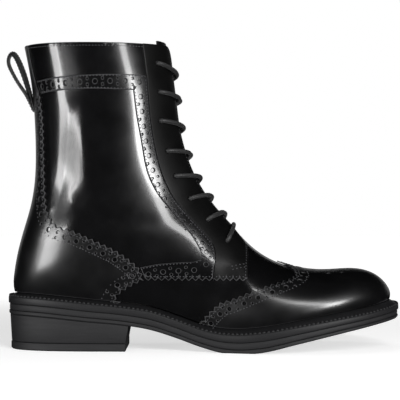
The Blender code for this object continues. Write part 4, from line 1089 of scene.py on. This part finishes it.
# the upper's lower edge all round, moved outwards by the margin less an inset: its outer and its inner side
def soleOutline(inset):
    u = 0.5 * (1 - np.cos(math.pi * np.linspace(0.0, 1.0, 241)))
    t = toeSection + (heelSection - toeSection) * u
    share = np.concatenate([endShare(t[:-1]), [1.0]])
    outer, inner = form(t, -share)[::-1, :2], form(t, share)[::-1, :2]
    ring = np.concatenate([outer, inner[-2:0:-1]])
    margin = weltMargin(t)[::-1] - inset
    margin = np.concatenate([margin, margin[-2:0:-1]])
    tangent = np.roll(ring, -1, axis=0) - np.roll(ring, 1, axis=0)
    normal = unit(np.stack([tangent[:, 1], -tangent[:, 0]], axis=-1))
    normal *= np.sign(np.sum(normal * (ring - ring.mean(axis=0)), axis=1).sum())
    ring = ring + normal * margin[:, None]
    front, back = int(np.argmax(ring[:, 0])), int(np.argmin(ring[:, 0]))
    ring = np.roll(ring, -front, axis=0)
    back = (back - front) % len(ring)
    return ring[:back + 1][::-1], np.concatenate([ring[back:], ring[:1]])


# x of the cross lines of a sole outline and y at their two ends, from the back to the front
def soleStations(inset, last=None):
    outer, inner = soleOutline(inset)
    u = np.linspace(0.0, 1.0, sole["stations"])
    if last is None:
        x = outer[0, 0] + (outer[-1, 0] - outer[0, 0]) * 0.5 * (1 - np.cos(math.pi * u))
    else:
        x = outer[0, 0] + (last - outer[0, 0]) * (1 - np.cos(0.5 * math.pi * u[::2]))
    return x, np.interp(x, outer[:, 0], outer[:, 1]), np.interp(x, inner[:, 0], inner[:, 1])


# rails of a layer from its half profile, (inset, height) from the middle of its top round to the middle of its base
def layerRails(profile, last=None):
    outers, inners = [], []
    for inset, height in profile:
        x, outer, inner = soleStations(inset, last)
        outers.append(np.stack([x, outer, height(x)], axis=-1))
        inners.append(np.stack([x, inner, height(x)], axis=-1))
    return outers + inners[::-1]


# heights as functions of x: one raised by a rise, and a level one
def above(height, rise):
    return lambda x: height(x) + rise


def level(height):
    return lambda x: 0.0 * x + height


# the half profile of a side wall, its two arrises rounded by r, tapering inwards on the way down
def wall(inset, top, bottom, r=sole["round"], taper=0.0):
    foot = inset + taper
    return [(inset + r, top), (inset + 0.3 * r, above(top, -0.3 * r)), (inset, above(top, -r)),
            (foot, above(bottom, r)), (foot + 0.3 * r, above(bottom, 0.3 * r)), (foot + r, bottom)]


gap, soleBottom = sole["gap"], depth(1.0)
welt = wall(0.0, edgeHeight, depth(0.40))
welt[:3] = [(boot["weltMargin"] + 0.0002, seatHeight), (0.0011, above(edgeHeight, 0.0004)),
            (0.0005, above(edgeHeight, 0.0001)), (0.0001, above(edgeHeight, -0.0004)),
            (0.0, above(edgeHeight, -0.0010))]
welt[-1] = 1.4 * sole["round"], depth(0.40)
outsole = wall(sole["outsole"], depth(0.76, gap), soleBottom)[:3] + [
    (sole["outsole"], above(soleBottom, 0.0008)), (sole["outsole"] + 0.0008, soleBottom), (0.0050, soleBottom),
    (0.0054, above(soleBottom, 0.0010))]
block = wall(sole["heel"], above(soleBottom, -gap), level(sole["toplift"] + gap), taper=sole["heelTaper"])
blockTop, blockLow = layerRails(block[:3], sole["breast"] + sole["rake"]), layerRails(block[3:], sole["breast"])
liftInset = sole["heel"] + 0.7 * sole["heelTaper"]
lift = wall(liftInset, level(sole["toplift"]), level(0.0))[:3] + [
    (liftInset, level(0.0008)), (liftInset + 0.0008, level(0.0))]
sock, sockTop = sole["sock"], above(seatHeight, gap + sole["sockThick"])
insole = [(sock + 0.0010, sockTop), (sock + 0.0003, above(sockTop, -0.0003)), (sock, above(sockTop, -0.0010)),
          (sock, above(seatHeight, gap))]
for name, rails, material, slot, node in (
        ("welt_rubber", layerRails(welt), weltRubber, "sole_rubber", "welt"),
        ("midsole_rubber", layerRails(wall(sole["midsole"], depth(0.40, gap), depth(0.76))), rubber, "sole_rubber",
         "midsole"),
        ("outsole_rubber", layerRails(outsole), rubber, "sole_rubber", "outsole"),
        ("heel_block_rubber", blockTop[:3] + blockLow + blockTop[3:], rubber, "sole_rubber", "heel_block"),
        ("heel_toplift_rubber", layerRails(lift, sole["breast"]), rubber, "top_piece_rubber", "heel_toplift"),
        ("insole_leather", layerRails(insole), lining, "insole_leather", "insole")):
    dress(railSolid(name, rails, [material], capped=name.startswith("heel")), slot, node)      # a flat breast
print("sole made")

# the tread: low moulded bars in a herringbone, within the border that the outsole stands on
tread = {"pitch": 0.0058, "margin": 0.0085, "reach": (0.062, 0.218), "halfWidth": 0.045, "lean": 0.6,
         "size": (0.0024, 0.0011, 0.0006)}
outer, inner = soleOutline(sole["outsole"] + tread["margin"])
x, y = np.meshgrid(np.arange(*tread["reach"], tread["pitch"]),
                   np.arange(-tread["halfWidth"], tread["halfWidth"], tread["pitch"] * 0.8), indexing="ij")
lean = np.where(np.arange(x.shape[1])[None, :] % 2 == 0, tread["lean"], -tread["lean"]) + 0.0 * x
sides = np.sort([np.interp(x, side[:, 0], side[:, 1]) for side in (outer, inner)], axis=0)
inside = (y > sides[0]) & (y < sides[1])
slope = (soleBottom(x + 0.001) - soleBottom(x - 0.001)) / 0.002
centres = np.stack([x, y, soleBottom(x) + tread["size"][2]], axis=-1)[inside]
ahead = unit(np.stack([np.cos(lean), np.sin(lean), slope * np.cos(lean)], axis=-1)[inside])
dress(beads("outsole_tread", centres, ahead, np.tile([0.0, 0.0, -1.0], (len(centres), 1)), tread["size"], [rubber]),
      "sole_rubber")

# the moulded ribs that stand for a stitch along the welt's upper edge
rib = {"pitch": 0.0031, "inset": 0.0011, "rise": 0.00048, "size": (0.00115, 0.00105, 0.00095)}
x, *sides = soleStations(rib["inset"])
centres, ahead = [], []
for y in sides:
    path = np.stack([x, y, edgeHeight(x) + rib["rise"]], axis=-1)
    length = runLength(path)
    places = np.arange(0.5 * rib["pitch"], length[-1], rib["pitch"])
    centres.append(sample(places, length, path))
    ahead.append(unit(sample(places + 0.001, length, path) - sample(places - 0.001, length, path)))
centres, ahead = np.concatenate(centres), np.concatenate(ahead)
dress(beads("welt_ribs", centres, ahead, np.tile([0.0, 0.0, 1.0], (len(centres), 1)), rib["size"], [ribHighlightRubber]),
      "sole_rubber")

# the stitches of every seam in one mesh
rear, front, tops = (np.concatenate([row[k] for row in seams]) for k in (0, 1, 2))
middle = 0.5 * (rear + front)
normal, here = skinNormal(*middle.T, tops), skin(*middle.T, tops)
ahead = unit(skin(*front.T, tops) - skin(*rear.T, tops))
for sewn, way, out in loopStitches:
    here, normal = np.concatenate([here, sewn[2:-2:3]]), np.concatenate([normal, out[2:-2:3]])
    ahead = np.concatenate([ahead, unit(way[2:-2:3])])
dress(beads("seam_stitches", here + stitch["proud"] * normal, ahead, normal,
            (stitch["long"], stitch["wide"], stitch["high"]), [thread]), "overlay_leather")
print("%d stitches sewn" % len(here))

# the camera, level and square to the outer side, where the photograph was taken from
view = {"lens": 127.0, "sensor": 36.0, "place": (0.092, -1.0, 0.1043)}
cameraData = bpy.data.cameras.new("camera")
cameraData.lens, cameraData.sensor_width = view["lens"], view["sensor"]
camera = bpy.data.objects.new("camera", cameraData)
camera.location, camera.rotation_euler = view["place"], (math.radians(90.0), 0.0, 0.0)
bpy.context.scene.collection.objects.link(camera)
bpy.context.scene.camera = camera
bpy.context.scene.view_settings.view_transform = "Standard"

# the stage: a white paper floor, lit through more strongly towards the back so that it fades into the white world.
# Behind it stands a grey card that only reflections see, so that the leather's rims stay faint
paper, tree, paperShader = startMaterial("white paper")
split = addNode(tree, "SeparateXYZ", {0: addNode(tree, "TexCoord").outputs["Object"]})
glow = addNode(tree, "MapRange", {"Value": split.outputs["Y"], "From Min": 0.1, "From Max": 0.8,
                                  "To Min": 0.62, "To Max": 1.0}, interpolation_type="SMOOTHSTEP")
card = {"Roughness": 0.95, "Emission Color": linear("#ffffff")}
feed(tree, paperShader, {**card, "Base Color": linear("#c2c2c2"), "Specular IOR Level": 0.05,
                         "Emission Strength": glow.outputs[0]})
greyCard, tree, cardShader = startMaterial("grey card")
feed(tree, cardShader, {**card, "Base Color": linear("#808080"), "Emission Strength": 0.32})
stage = {"reach": 3.4, "bend": 0.5, "height": 1.0}
turn = np.linspace(0.0, 0.5 * math.pi, 16)
bendY = stage["reach"] - stage["bend"] + stage["bend"] * np.sin(turn)
bendZ = stage["bend"] - stage["bend"] * np.cos(turn)
for name, materialOf, sweepY, sweepZ in (
        ("paper_floor", paper, np.array([-stage["reach"], bendY[0]]), np.zeros(2)),
        ("paper_backdrop", greyCard, np.append(bendY, bendY[-1]), np.append(bendZ, stage["height"]))):
    rows = [np.stack([0.0 * sweepY + x, sweepY, sweepZ], axis=-1) for x in (-stage["reach"], stage["reach"])]
    sheet = meshFrom(name, np.concatenate(rows), railGrid(rows, ring=False)[:, ::-1], [materialOf])
    sheet.visible_glossy = name != "paper_floor"      # the leather's blacks stay deep beside a white floor
    sheet.visible_camera = name == "paper_floor"      # the backdrop only gives the leather its faint rims


# a soft light: a lamp between two points that looks at a third, of so many watts per square metre and steradian;
# its power is radiance * area * pi
def softBox(name, foot, head, target, width, radiance):
    foot, head, target = Vector(foot), Vector(head), Vector(target)
    data = bpy.data.lights.new(name, "AREA")
    data.shape, data.size, data.size_y = "RECTANGLE", width, (head - foot).length
    data.energy = radiance * width * data.size_y * math.pi
    lamp = bpy.data.objects.new(name, data)
    bpy.context.scene.collection.objects.link(lamp)
    middle = 0.5 * (foot + head)
    up = (head - foot).normalized()
    away = middle - target
    away = (away - away.dot(up) * up).normalized()
    turned = Matrix((up.cross(away), up, away)).transposed()
    lamp.location, lamp.rotation_euler = middle, turned.to_euler()
    lamp.visible_camera = False
    return lamp


# each lamp's foot, head, target, width and radiance
lamps = {
    "left_box": ((-0.829, -0.59, 0.100), (-0.829, -0.59, 0.190), (0.0, 0.0, 0.12), 0.25, 36.0),
    "left_strip": ((-0.407, -0.944, 0.070), (-0.777, -0.66, 0.112), (0.0, 0.0, 0.12), 0.026, 56.0),
    "heel_box": ((-0.40, -0.46, 0.00), (-0.40, -0.46, 0.08), (0.0, -0.03, 0.06), 0.26, 40.0),
    "right_box": ((0.93, -0.98, 0.00), (0.26, -1.10, 0.90), (0.06, 0.0, 0.10), 0.15, 34.0),
    "toe_box": ((0.72, -0.80, 0.00), (0.72, -0.80, 0.24), (0.15, 0.0, 0.05), 0.22, 38.0),
    "overhead_box": ((0.09, 0.45, 1.45), (0.09, -0.15, 1.45), (0.09, 0.0, 0.10), 0.9, 1.8)}
for name, settings in lamps.items():
    softBox(name, *settings).visible_glossy = name != "overhead_box"
world = bpy.data.worlds.new("studio")
bpy.context.scene.world = world
world.use_nodes = True
background = world.node_tree.nodes["Background"]
background.inputs["Color"].default_value, background.inputs["Strength"].default_value = linear("#ffffff"), 1.0
world.cycles_visibility.diffuse = world.cycles_visibility.glossy = False      # a white wall, not a lamp
print("stage lit")
